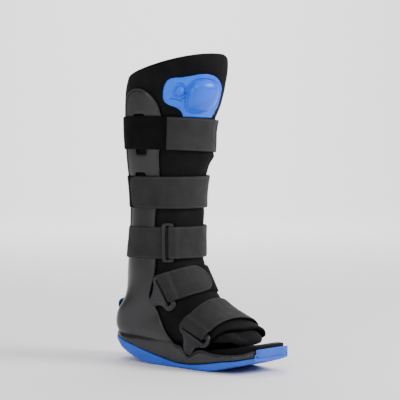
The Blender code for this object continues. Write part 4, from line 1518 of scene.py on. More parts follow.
@dataclass
class Sole:
    """The blue rocker sole.

    Attributes:
        round_in: How far the lower corners are drawn in.
        first_groove: Where the cross grooves start.
        pitch: The distance between them.
        count: How many there are.
        groove: Their width and depth.
        free: The stretch without grooves.
        slant: How far the nose leans back towards its foot.
    """

    round_in: float = 2.5 * MM
    first_groove: float = -0.052
    pitch: float = 0.0125
    count: int = 20
    groove: tuple[float, float] = (2.4 * MM, 1.8 * MM)
    free: tuple[float, float] = (0.015, 0.040)
    slant: float = 0.45

    def ring(self, x: float) -> list[Vector]:
        """One upright section of the sole, with rounded lower corners and softened upper ones.

        Args:
            x: The place along the foot.

        Returns:
            The section's points.
        """
        half, under, top = (by_x(SOLE_ROWS, column, x) for column in ("half", "under", "top"))
        deep = min(self.round_in, (top - under) * 0.45)
        corner = []
        for k in range(5):
            angle = pi / 2 * k / 4
            corner.append((half - deep + deep * sin(angle), under + deep - deep * cos(angle)))
        corner.append((half, top - 0.5 * MM))
        corner.append((half - 0.5 * MM, top))
        right = [Vector((x, y, z)) for y, z in corner]
        return right + [Vector((p.x, -p.y, p.z)) for p in reversed(right)]

    def places(self) -> list[float]:
        """The places of the sections, close together where the lip rises.

        Returns:
            The places.
        """
        plain = [SOLE_ROWS[0].x + i * 0.003 for i in range(87)]
        plain = [x for x in plain if x < SOLE_LIP - 0.001]
        return plain + [0.1865, 0.1873, 0.1879, 0.1886, 0.1894, 0.1902, 0.1910, 0.1918]

    def build(self) -> Object:
        """Makes and dresses the sole.

        Returns:
            The piece.
        """
        rings = [self.ring(x) for x in self.places()]
        for x, ring in zip(self.places(), rings):
            top = by_x(SOLE_ROWS, "top", x)
            for p in ring:
                p.x -= self.slant * (top - p.z) * smooth((x - SOLE_LIP) / 0.0045)
        nose = rings[-1]
        middle = sum(nose, Vector()) / len(nose)
        rings.append([middle + (p - middle) * 0.9 + Vector((0.6 * MM, 0.0, 0.0)) for p in nose])
        sole = loft("sole", rings)
        wide, deep = self.groove
        blocks = []
        for x in (self.first_groove + i * self.pitch for i in range(self.count)):
            if not self.free[0] < x < self.free[1]:
                across = 2 * by_x(SOLE_ROWS, "half", x) + 0.01
                blocks.append(box((x, 0.0, by_x(SOLE_ROWS, "under", x)), (wide, across, 2 * deep)))
        boolean(sole, join(*blocks), "DIFFERENCE")
        mould(sole, 0.9 * MM, 3)
        return hand_over(complete(sole, SOLE_RUBBER.material()), ["sole"])


@dataclass
class Footbed:
    """The black insole, which shows in front of the toes."""

    gap: float = 0.4 * MM
    step: float = 0.004

    def ring(self, x: float, grow: float = 0.0, rise: float = 0.0) -> list[Vector]:
        """One upright section, with softened upper edges.

        Args:
            x: The place along the foot.
            grow: How far it is grown outwards.
            rise: How far its top is raised.

        Returns:
            The section's points.
        """
        half = by_x(FOOTBED_ROWS, "half", x) + grow
        under = by_x(FOOTBED_ROWS, "under", x) - grow
        top = by_x(FOOTBED_ROWS, "top", x) + rise
        soft = (half - 0.3 * MM, top - 0.25 * MM)
        points = [
            Vector((x, y, z)) for y, z in ((half, under), (half, top - 0.8 * MM), soft, (half - 1.0 * MM, top))
        ]
        return points + [Vector((p.x, -p.y, p.z)) for p in reversed(points)]

    def room(self) -> Object:
        """The space that the shell leaves for the footbed, open above and in front.

        Returns:
            The helper, measured from the leg's axis.
        """
        first, last = FOOTBED_ROWS[0].x, FOOTBED_ROWS[-1].x
        rings = [self.ring(r.x, self.gap, 0.02) for r in FOOTBED_ROWS]
        for p in rings[0]:
            p.x = first - self.gap
        for p in rings[-1]:
            p.x = last + 20 * self.gap
        return loft("footbed_room", rings)

    def build(self) -> Object:
        """Makes and dresses the footbed.

        Returns:
            The piece.
        """
        first, last = FOOTBED_ROWS[0].x, FOOTBED_ROWS[-1].x
        count = int((last - first) / self.step)
        rings = [self.ring(first + (last - first) * i / count) for i in range(count + 1)]
        footbed = loft("footbed", rings)
        bevel(footbed, 0.5 * MM, 2, 50.0)
        return hand_over(complete(footbed, FOOTBED_FOAM.material(), 35.0), ["footbed"])


@dataclass
class Shell:
    """The moulded shell with its two uprights, and the rolled lip along its edge.

    Attributes:
        clear: The gap to the liner.
        wall: The wall's thickness.
        firm: How much squarer its lower corners are than the liner's.
        rise: How far the base stands above the sole's edge.
        least: The least height of the base.
        windows: The rear, front, foot and head of each window.
        lip: The radius of the rolled lip.
    """

    sole: Sole
    footbed: Footbed
    clear: float = 0.6 * MM
    wall: float = 3.0 * MM
    firm: float = 1.6
    rise: float = 8 * MM
    least: float = 36 * MM
    windows: tuple[tuple[float, float, float, float], ...] = (
        (-0.0045, 0.0150, 0.2865, 0.3405),
        (-0.0105, 0.0086, 0.2240, 0.2610),
    )
    lip: float = 1.15 * MM

    def base_ring(self, x: float) -> list[Vector]:
        """A section of the base, which lies on the sole and reaches up beside the liner.

        Args:
            x: The place along the foot.

        Returns:
            The section's points.
        """
        half = by_x(SOLE_ROWS, "half", x) - 0.6 * MM
        edge = by_x(SOLE_ROWS, "top", x)
        share = min(1.0, 0.1 + (x - SOLE_ROWS[0].x) / 0.016)
        top, low = max(edge + self.rise * share, self.least), edge - 3 * MM
        side = [(half - 5 * MM, top + 5 * MM * share), (half, top - 2.5 * MM * share), (half, low)]
        near = [Vector((x, -y, z)) for y, z in side]
        return near + [Vector((x, y, z)) for y, z in reversed(side)]

    def sole_room_ring(self, x: float, shift: float = 0.0) -> list[Vector]:
        """A section of the space that the base leaves for the sole.

        Args:
            x: The place along the foot.
            shift: How far it is moved along the foot.

        Returns:
            The section's points.
        """
        half = by_x(SOLE_ROWS, "half", x) + 0.02
        top = by_x(SOLE_ROWS, "top", x) + 0.4 * MM
        low = by_x(SOLE_ROWS, "under", x) - 0.03
        return [Vector((x + shift, y, z)) for y, z in ((-half, top), (-half, low), (half, low), (half, top))]

    def form(self) -> Object:
        """The shell before its side outline and windows are cut.

        Returns:
            The solid, measured from the leg's axis.
        """
        shell = leg_solid("shell", self.clear + self.wall, 1.0, firm=self.firm)
        places = [x for x in self.sole.places() if x < SOLE_LIP]
        base_rings = [self.base_ring(x) for x in places]
        base_rings.append([p + Vector((0.012, 0.0, 0.0)) for p in base_rings[-1]])
        room_rings = [self.sole_room_ring(places[0], -0.01)] + [self.sole_room_ring(x) for x in places]
        room_rings.append([p + Vector((0.014, 0.0, 0.0)) for p in room_rings[-1]])
        boolean(shell, loft("base", base_rings), "UNION")
        boolean(shell, leg_solid("hollow", self.clear, 0.0, beyond=0.05), "DIFFERENCE")
        boolean(shell, loft("sole_room", room_rings), "DIFFERENCE")
        boolean(shell, self.footbed.room(), "DIFFERENCE")
        return shell

    def rim_path(self, form: Object, side: float) -> list[Vector]:
        """The way of the lip along the edge, laid on the outside of the form.

        Args:
            form: The shell before its outline is cut.
            side: -1 for the near side, 1 for the far side.

        Returns:
            The points of the lip's middle line.
        """
        tree = BVHTree.FromObject(form, bpy.context.evaluated_depsgraph_get())
        points = outline_points(SHELL_SIDE, 8)
        inside = [0.0 < p.y and -0.0995 < p.x < 0.1856 for p in points]
        start = next(i for i in range(len(points)) if inside[i] and not inside[i - 1])
        path = []
        for k in range(len(points)):
            i = (start + k) % len(points)
            if not inside[i]:
                continue
            origin = Vector((points[i].x, side * 0.2, points[i].y))
            hit = tree.ray_cast(origin, Vector((0.0, -side, 0.0)))[0]
            if hit is not None and (not path or (hit - path[-1]).length > 0.8 * MM):
                path.append(hit)
        return path

    def build(self) -> list[Object]:
        """Makes and dresses the shell and its lip.

        Returns:
            The pieces.
        """
        form = self.form()
        lips = [tube("shell_lip", self.rim_path(form, side), self.lip, False) for side in (-1.0, 1.0)]
        side = flat_outline([SHELL_SIDE], 8)
        walls = (lambda u, v: Vector((u, 0.08, v)), lambda u, v: Vector((u, -0.08, v)))
        cutter = bent_plate("side", side, *walls)
        boolean(form, cutter, "INTERSECT")
        for rear, front, low, high in self.windows:
            window = box(((rear + front) / 2, 0.0, (low + high) / 2), (front - rear, 0.2, high - low))
            bevel(window, 2.0 * MM, 3)
            boolean(form, window, "DIFFERENCE")
        mould(form, 1.5 * MM, 5)
        complete(form, SHELL_PLASTIC.material())
        # The lip takes the loops' lighter plastic: a painted highlight along the shell's edge, together with edge
        # wear.
        lip = complete(join(*lips), LOOP_PLASTIC_AND_LIP_HIGHLIGHT.material(), 60.0)
        lip.name = "shell_lip"
        return [hand_over(form, ["shell"]), hand_over(lip, [])]


@dataclass
class Liner:
    """The padded bootie: a hollow leg and foot with a rolled collar and a rolled rim over the toes.

    Attributes:
        leg_wall: The padding's thickness at the leg.
        toe_wall: Its thickness at the toes.
        mouth_start: The station from which the rows draw back towards the mouth.
        mouth_back: How far they draw back: on the far side, more on the near one and below, and the most.
        puff: How far the padding may swell between the straps.
        puff_frames: The frames of the swelling.
        fold: The height, angle and depth of the fold that stands out between the upper straps.
        corner: How far the front corner of the collar is cut down, its angle, and its width before and behind.
        rise: How much higher the far flap's top stands.
    """

    leg_wall: float = 8 * MM
    toe_wall: float = 4.5 * MM
    mouth_start: float = 14.0
    mouth_back: tuple[float, float, float, float] = (0.25, 1.2, 0.9, 1.5)
    puff: float = 3.2 * MM
    puff_frames: int = 20
    fold: tuple[float, float, float] = (0.2835, 36.0, 6.0 * MM)
    corner: tuple[float, float, float, float] = (13.0 * MM, 43.0, 38.0, 28.0)
    rise: float = 3.5 * MM
    around: int = 72
    step: float = 0.25
    straps: tuple[Strap, ...] = (CALF, SHIN, ANKLE, INSTEP, FOREFOOT)

    def row(self, t: float, degrees: float) -> float:
        """A row's own station at an angle: the last rows draw back, more on the near side and below.

        Args:
            t: The station.
            degrees: The angle from the front.

        Returns:
            The row's own station.
        """
        far, near, below, most = self.mouth_back
        near *= max(0.0, -sin(radians(degrees + 20)))
        below *= max(0.0, -cos(radians(degrees)))
        back = min(far + near + below, most)
        return t - back * max(0.0, t - self.mouth_start) / (MOUTH - self.mouth_start)

    def _wall(self, t: float) -> float:
        """The padding's thickness at a station."""
        return self.leg_wall + (self.toe_wall - self.leg_wall) * smooth((t / MOUTH - 0.55) / 0.35)

    def _free(self, p: Vector, t: float, degrees: float) -> float:
        """How free the padding is to swell: 0 under the straps and the shell, 1 well away from both."""
        share = 1.0
        for strap in self.straps:
            tilt = radians(strap.tilt)
            off = abs((p.x - strap.x) * -sin(tilt) + (p.z - strap.z) * cos(tilt))
            share = min(share, smooth((off - strap.width / 2 - 1.5 * MM) / (7 * MM)))
        edge = self._shell_front(p.z)
        if p.z < 0.38:
            share = min(share, smooth((p.x - edge - 2 * MM) / (6 * MM)) if p.z > 0.036 else 0.0)
        if 0.335 < p.z < 0.40 and -70.0 < degrees < 30.0:
            share = 0.0
        if t > self.mouth_start:
            share = min(share, 0.35)
        return share

    @staticmethod
    def _shell_front(height: float) -> float:
        """The place of the shell's front edge at a height."""
        front = [e for e in SHELL_SIDE[9:24]]
        for low, high in zip(front, front[1:]):
            if low.v <= height <= high.v:
                return low.u + (high.u - low.u) * (height - low.v) / (high.v - low.v)
        return 0.08 if height < front[0].v else -0.1

    def _fold(self, p: Vector, degrees: float) -> float:
        """How far the soft folds stand out at a point."""
        height, angle, deep = self.fold
        out = deep * exp(-((p.z - height) / (5.5 * MM)) ** 2 - ((degrees - angle) / 24.0) ** 2)
        out += 0.9 * MM * exp(-((p.z - 0.272) / (3 * MM)) ** 2 - ((degrees - 5.0) / 60.0) ** 2)
        ripple = noise.noise(Vector((p.x * 14, p.y * 14, p.z * 95)))
        return out + 0.9 * MM * ripple

    def _collar(self, t: float, degrees: float) -> float:
        """How far the collar moves up: its front corner is round, and the far flap's top is higher."""
        deep, middle, before, behind = self.corner
        past = degrees - middle
        inside = max(0.0, 1.0 - abs(past) / (before if past < 0.0 else behind))
        move = -deep * (1.0 - sqrt(max(0.0, 1.0 - inside ** 2.4)))
        move += self.rise * smooth((degrees - 60.0) / 18.0) * smooth((125.0 - degrees) / 20.0)
        return move * smooth(1.0 - t / 1.6)

    def form(self) -> tuple[Object, list[float]]:
        """Makes the liner's closed wall.

        Returns:
            The liner and how free each vertex is.
        """
        plain = [360.0 * i / self.around - 180.0 for i in range(self.around)]
        edge = LEG.flap_edge
        angles = [a for a in plain if not edge - 1.5 < a < edge + 2.0]
        angles = sorted(angles + [edge - 1.2, edge, edge + 0.7])
        count = int(MOUTH / self.step)
        places = [0.07] + [i * self.step for i in range(1, count + 1)]
        rings, free = [], []

        def add(place: float, depth: float, ahead: float, is_free: bool) -> None:
            """Adds a ring at a station, at a depth in the wall, pushed along the leg or foot."""
            ring = []
            for degrees in angles:
                t = self.row(place, degrees)
                p = LEG.point(t, degrees, (LEG.lift(t, degrees) if depth == 0.0 else 0.0) - depth)
                push = (self.row_way(t) * ahead) if ahead else Vector()
                share = self._free(p, t, degrees) if is_free else 0.0
                if is_free:
                    p = LEG.point(t, degrees, LEG.lift(t, degrees) + share * self._fold(p, degrees))
                ring.append(p + push + UP * self._collar(t, degrees))
                free.append(share)
            rings.append(ring)

        for place in places:
            add(place, 0.0, 0.0, True)
        for angle in (30, 60, 90, 120, 150):
            turned = radians(angle)
            depth = self._wall(MOUTH) * (1 - cos(turned)) / 2
            add(MOUTH, depth, self._wall(MOUTH) * 0.5 * sin(turned), False)
        for place in reversed(places):
            add(place, self._wall(place), 0.0, False)
        for angle in (30, 60, 90, 120, 150):
            turned = radians(angle)
            depth = self._wall(0.0) * (1 + cos(turned)) / 2
            add(places[0], depth, -self._wall(0.0) * 0.35 * sin(turned), False)
        return loft("liner", rings, cyclic=True), free

    @staticmethod
    def row_way(t: float) -> Vector:
        """The way from one section to the next at a station."""
        return (LEG.row(min(t + 0.2, MOUTH))[0] - LEG.row(max(t - 0.2, 0.0))[0]).normalized()

    def swell(self, liner: Object, free: Sequence[float]) -> None:
        """Lets the padding swell between the straps by a cloth simulation, held where it is strapped down.

        Args:
            liner: The liner.
            free: How free each vertex is.
        """
        held = liner.vertex_groups.new(name="held")
        for i, share in enumerate(free):
            held.add([i], 1.0 - share, "REPLACE")
        before = [v.co.copy() for v in liner.data.vertices]
        select_only(liner)
        cloth = liner.modifiers.new("foam", "CLOTH")
        cloth.settings.quality = 5
        cloth.settings.mass = 0.3
        cloth.settings.tension_stiffness = 25.0
        cloth.settings.compression_stiffness = 25.0
        cloth.settings.bending_stiffness = 0.8
        cloth.settings.use_pressure = True
        cloth.settings.uniform_pressure_force = 4.0
        cloth.settings.vertex_group_mass = "held"
        cloth.settings.effector_weights.gravity = 0.0
        cloth.collision_settings.use_collision = False
        cloth.point_cache.frame_start = 1
        cloth.point_cache.frame_end = self.puff_frames
        for frame in range(1, self.puff_frames + 1):
            bpy.context.scene.frame_set(frame)
        bpy.ops.object.modifier_apply(modifier=cloth.name)
        bpy.context.scene.frame_set(1)
        for vertex, old, share in zip(liner.data.vertices, before, free):
            moved = vertex.co - old
            most = self.puff * share
            if moved.length > most:
                vertex.co = old + moved * (most / moved.length)

    def build(self) -> Object:
        """Makes and dresses the liner.

        Returns:
            The piece.
        """
        liner, free = self.form()
        self.swell(liner, free)
        subdivide(liner)
        complete(liner, LINER_CLOTH.material(), 50.0)
        return hand_over(liner, ["liner"])


@dataclass
class ToeCover:
    """The dark cloth that closes the liner's mouth over the toes and swells a little out of it.

    Attributes:
        clear: The gap to the padding.
        wall: The cloth's thickness.
        swell: How far it swells out past the mouth's rim.
        drop: How much its front droops.
        around: The number of points round it.
        bulge: How far each ring of the front stands out, and its share of the rim's size.
    """

    clear: float = 3.0 * MM
    wall: float = 2.0 * MM
    swell: float = 5.0 * MM
    drop: float = 0.5
    around: int = 64
    bulge: tuple[tuple[float, float], ...] = (
        (0.0012, 0.985), (0.003, 0.96), (0.0055, 0.925), (0.008, 0.88), (0.010, 0.81), (0.012, 0.72),
        (0.0138, 0.58), (0.0155, 0.4), (0.0161, 0.2),
    )

    def rings(self, inset: float, liner: Liner) -> list[list[Vector]]:
        """The rings of one side of the cloth.

        Args:
            inset: How far the side lies inside the outer one.
            liner: The liner.

        Returns:
            The rings.
        """
        made = []
        for i in range(9):
            t = 14.6 + 1.9 * i / 8
            ring = []
            for k in range(self.around):
                degrees = 360.0 * k / self.around
                above = smooth((cos(radians(degrees)) + 0.6) / 1.2)
                swell = self.swell * above * smooth((t - liner.row(MOUTH, degrees) - 0.15) / 0.6)
                p = LEG.point(t, degrees, swell - liner.toe_wall - self.clear - inset)
                ripple = noise.noise(Vector((p.x * 60, p.y * 45, p.z * 45))) * 0.7 * MM
                ring.append(p + UP * ripple)
            made.append(ring)
        rim = made[-1]
        middle = sum(rim, Vector()) / self.around
        for ahead, share in self.bulge:
            push = Vector((ahead - inset, 0.0, -ahead * self.drop))
            ring = []
            for p in rim:
                q = middle + (p - middle) * share + push
                ripple = noise.noise(Vector((q.x * 60, q.y * 45, q.z * 70)))
                ring.append(q + Vector((0.9 * MM * ripple, 0.0, 0.5 * MM * ripple)))
            made.append(ring)
        return made

    def build(self, liner: Liner) -> Object:
        """Makes and dresses the cover.

        Args:
            liner: The liner.

        Returns:
            The piece.
        """
        cover = loft("toe_cover", list(reversed(self.rings(self.wall, liner))) + self.rings(0.0, liner))
        subdivide(cover)
        complete(cover, TOE_CLOTH.material(), 60.0)
        return hand_over(cover, ["toe_cover"])


@dataclass
class HeelLoop:
    """The small navy pull loop behind the heel."""

    centre: tuple[float, float] = (-0.0757, 0.0722)
    radius: float = 8.5 * MM
    top: tuple[float, float] = (-0.0624, 0.0815)
    foot: tuple[float, float] = (-0.0694, 0.0655)
    half: float = 10 * MM
    thick: float = 2.4 * MM

    def build(self) -> Object:
        """Makes and dresses the loop.

        Returns:
            The piece.
        """
        path = [Vector((self.top[0], 0.0, self.top[1]))]
        for step in range(13):
            angle = radians(90 + 15 * step)
            turned = Vector((cos(angle), 0.0, sin(angle)))
            path.append(Vector((self.centre[0], 0.0, self.centre[1])) + turned * self.radius)
        path.append(Vector((self.foot[0], 0.0, self.foot[1])))
        rings = []
        for i, p in enumerate(path):
            along = (path[min(i + 1, len(path) - 1)] - path[max(i - 1, 0)]).normalized()
            out = along.cross(LEFT) * (self.thick / 2)
            side = LEFT * self.half
            rings.append([p - out - side, p + out - side, p + out + side, p - out + side])
        loop = loft("heel_loop", rings)
        bevel(loop, 0.8 * MM, 3, 50.0)
        return hand_over(complete(loop, NAVY_BAND.material(), 50.0), ["heel_loop"])


@dataclass
class Pump:
    """The blue air pump on the near flap: a moulded panel, its bulb and its valve button.

    Attributes:
        arc: Metres for each degree in the panel's table.
        clear: The gap to the flap.
        thick: The panel's thickness.
        pitch: The size of the panel's faces.
        rim: The height and width of its raised rim.
        bulb: The bulb's angle and height, half width in degrees, half height and rise.
        button: The button's angle and height, radius and rise.
        grooves: The relief lines between button and bulb, each a row of angles and heights.
    """

    arc: float = 1.1 * MM
    clear: float = 1.4 * MM
    thick: float = 3.2 * MM
    pitch: float = 1.3 * MM
    rim: tuple[float, float] = (0.9 * MM, 2.6 * MM)
    bulb: tuple[float, float, float, float, float] = (-16.5, 0.3638, 18.6, 0.0210, 0.012)
    button: tuple[float, float, float, float] = (-44.4, 0.3700, 0.0062, 0.0048)
    grooves: tuple[tuple[tuple[float, float], ...], ...] = (
        ((-47.8, 0.3800), (-42.8, 0.3806), (-39.1, 0.3760), (-37.2, 0.3734), (-36.3, 0.3629)),
        ((-36.3, 0.3629), (-39.0, 0.3616), (-41.6, 0.3583), (-47.7, 0.3603), (-54.1, 0.3610)),
    )

    def panel(self) -> Object:
        """Makes the panel with its rim and relief lines.

        Returns:
            The panel, measured from the leg's axis.
        """
        edges = [Edge(e.u * self.arc, e.v, e.sharp) for e in PUMP_PANEL]
        rim = outline_points(edges, 8)
        flat = flat_outline([edges], 8)
        net(flat, self.pitch)
        lines = [[Vector((a * self.arc, z, 0.0)) for a, z in groove] for groove in self.grooves]
        bulb_angle, bulb_height, half_deg, half_high, _ = self.bulb

        def over(u: float, v: float) -> Vector:
            """The outside of the panel."""
            edge = distance_to([rim], u, v)
            out = self.rim[0] * exp(-((edge - self.rim[1] * 0.6) / (self.rim[1] * 0.45)) ** 2)
            out -= 1.2 * MM * (1 - smooth(edge / (1.2 * MM)))
            for line in lines:
                out -= 2.3 * MM * exp(-(distance_to([line], u, v, closed=False) / (1.0 * MM)) ** 2)
            wide = (u / self.arc - bulb_angle) / half_deg
            high = (v - bulb_height) / half_high
            ring = (abs(wide) ** 2.8 + abs(high) ** 2.8) ** (1 / 2.8)
            out -= 2.0 * MM * exp(-((ring - 1.05) * half_high / (1.2 * MM)) ** 2)
            round_button = hypot(u - self.button[0] * self.arc, v - self.button[1])
            out -= 1.4 * MM * exp(-((round_button - self.button[2] - 0.9 * MM) / (0.9 * MM)) ** 2)
            return LEG.upper(u / self.arc, v, self.clear + self.thick + out)

        return bent_plate("pump_panel", flat, lambda u, v: LEG.upper(u / self.arc, v, self.clear), over)

    def dome(self, name: str, centre: tuple[float, float], half_deg: float, half_high: float, rise: float,
             square: float) -> Object:
        """A soft round body that stands on the panel.

        Args:
            name: Its name.
            centre: Its angle and height.
            half_deg: Half its width in degrees.
            half_high: Half its height.
            rise: How far it stands out.
            square: How square its outline is.

        Returns:
            The body.
        """
        floor = self.clear + self.thick
        sides = 48

        def ring(share: float, height: float) -> list[Vector]:
            """One ring round the body."""
            points = []
            for k in range(sides):
                angle = 2 * pi * k / sides
                c, s = cos(angle), sin(angle)
                u = half_deg * share * copysign(abs(c) ** (2 / square), c)
                v = half_high * share * copysign(abs(s) ** (2 / square), s)
                points.append(LEG.upper(centre[0] + u, centre[1] + v, floor + height))
            return points

        shares = [1.0, 0.995, 0.985, 0.965, 0.93, 0.88, 0.81, 0.72, 0.61, 0.48, 0.34, 0.18]
        rings = [ring(0.5, -0.5 * MM), ring(1.0, -0.5 * MM)]
        rings += [ring(s, rise * (1 - s ** 3.2) ** 0.62) for s in shares]
        return complete(loft(name, rings), BULB_RUBBER.material(), 60.0)

    def build(self) -> list[Object]:
        """Makes and dresses the pump.

        Returns:
            The pieces.
        """
        panel = complete(self.panel(), PUMP_RUBBER.material(), 55.0)
        angle, height, half_deg, half_high, rise = self.bulb
        bulb = self.dome("pump_bulb", (angle, height), half_deg, half_high, rise, 2.8)
        angle, height, radius, rise = self.button
        button = self.dome("valve_button", (angle, height), radius / self.arc, radius, rise, 2.0)
        return [
            hand_over(panel, ["pump_panel"]),
            hand_over(bulb, ["pump_bulb"]),
            hand_over(button, ["valve_button"]),
        ]


@dataclass
class SideLoop:
    """A moulded plate on the shell's near side with a slanted slot, which a strap rolls through.

    Attributes:
        name: The plate's name.
        outline: Its outline, seen from the side.
        slot: The slot.
        clear: The gap below the plate.
        thick: Its thickness.
        rim: How high its rim stands.
        rim_width: How wide the rim is.
    """

    name: str
    outline: tuple[Edge, ...]
    slot: tuple[Edge, ...]
    clear: float = 1.8 * MM
    thick: float = 2.4 * MM
    rim: float = 0.8 * MM
    rim_width: float = 1.9 * MM
    pitch: float = 1.5 * MM

    def build(self, course: Course) -> Object:
        """Makes and dresses the plate on a strap's course.

        Args:
            course: The way of its strap.

        Returns:
            The piece.
        """
        flat = flat_outline([self.outline, self.slot], 6)
        net(flat, self.pitch)
        rims = [outline_points(self.outline, 6), outline_points(self.slot, 6)]

        def at(x: float, z: float, grow: float) -> Vector:
            """The point over the strap's course that is seen at x and z."""
            offset, degrees = course.beside(x, z, grow)
            return course.point(offset, degrees, grow)

        def over(x: float, z: float) -> Vector:
            """The outside, with its rim and rounded edges."""
            off = distance_to(rims, x, z)
            out = self.rim * (1 - smooth((off - self.rim_width) / (0.8 * MM)))
            out -= 0.9 * MM * (1 - sqrt(min(1.0, off / (0.9 * MM)) * (2 - min(1.0, off / (0.9 * MM)))))
            return at(x, z, self.clear + self.thick + out)

        plate = bent_plate(self.name, flat, lambda x, z: at(x, z, self.clear), over)
        return hand_over(complete(plate, LOOP_PLASTIC_AND_LIP_HIGHLIGHT.material(), 55.0), [self.name])


@dataclass
class RingLoop:
    """The narrow rectangular ring at the shin, which the third strap folds through."""

    angle: float = -47.0
    half: tuple[float, float] = (7.5, 26.5)
    slot_half: tuple[float, float] = (2.4, 23.0)
    corner: float = 3.0
    low: float = 3.7 * MM
    thick: float = 2.2 * MM
    arc: float = 1.0 * MM

    def _box(self, half: tuple[float, float], corner: float) -> list[Edge]:
        """A rounded box as an outline in metres."""
        points = []
        for sx, sy in ((1, 1), (-1, 1), (-1, -1), (1, -1)):
            centre = (sx * (half[0] - corner), sy * (half[1] - corner))
            start = {(1, 1): 0, (-1, 1): 90, (-1, -1): 180, (1, -1): 270}[sx, sy]
            for step in range(5):
                a = radians(start + 22.5 * step)
                u, v = centre[0] + corner * cos(a), centre[1] + corner * sin(a)
                points.append(Edge(u * MM, v * MM, True))
        return points

    def build(self, course: Course) -> Object:
        """Makes and dresses the ring on its strap's course.

        Args:
            course: The way of its strap.

        Returns:
            The piece.
        """
        outer, inner = self._box(self.half, self.corner), self._box(self.slot_half, 1.2)
        radius = course.reach(course.ROWS // 2, self.angle) + self.low
        flat = flat_outline([outer, inner], 1)
        net(flat, 1.2 * MM)
        rims = [outline_points(outer, 1), outline_points(inner, 1)]

        def at(u: float, v: float, grow: float) -> Vector:
            """The point over the strap's course at a flat place of the ring."""
            return course.point(v, self.angle + math.degrees(u / radius), grow)

        def over(u: float, v: float) -> Vector:
            """The outside, rounded over both edges."""
            near = min(1.0, distance_to(rims, u, v) / (1.3 * MM))
            return at(u, v, self.low + self.thick * (0.45 + 0.55 * sqrt(near * (2 - near))))

        ring = bent_plate("ankle_loop", flat, lambda u, v: at(u, v, self.low), over)
        return hand_over(complete(ring, LOOP_PLASTIC_AND_LIP_HIGHLIGHT.material(), 55.0), ["ankle_loop"])


@dataclass
class Rivet:
    """A round rivet that holds a strap's far end to the shell."""

    name: str
    degrees: float
    radius: float = 6 * MM
    thick: float = 1.6 * MM
    low: float = 3.7 * MM

    def build(self, course: Course) -> Object:
        """Makes and dresses the rivet on its strap's course.

        Args:
            course: The way of its strap.

        Returns:
            The piece.
        """
        centre = course.point(0.0, self.degrees, self.low + self.thick / 2) - BOX_CENTRE
        away = course.point(0.0, self.degrees, 0.1) - BOX_CENTRE - centre
        turned = away.to_track_quat("Z", "Y")
        deselect_all()
        bpy.ops.mesh.primitive_cylinder_add(
            vertices=40, radius=self.radius, depth=self.thick, location=centre, rotation=turned.to_euler()
        )
        rivet = bpy.context.object
        rivet.name = self.name
        bpy.ops.object.transform_apply(location=True, rotation=True, scale=True)
        bevel(rivet, 0.55 * MM, 4, 50.0)
        smooth_shade(rivet, 50.0)
        dress(rivet, LOOP_PLASTIC_AND_LIP_HIGHLIGHT.material())
        return hand_over(rivet, [self.name])


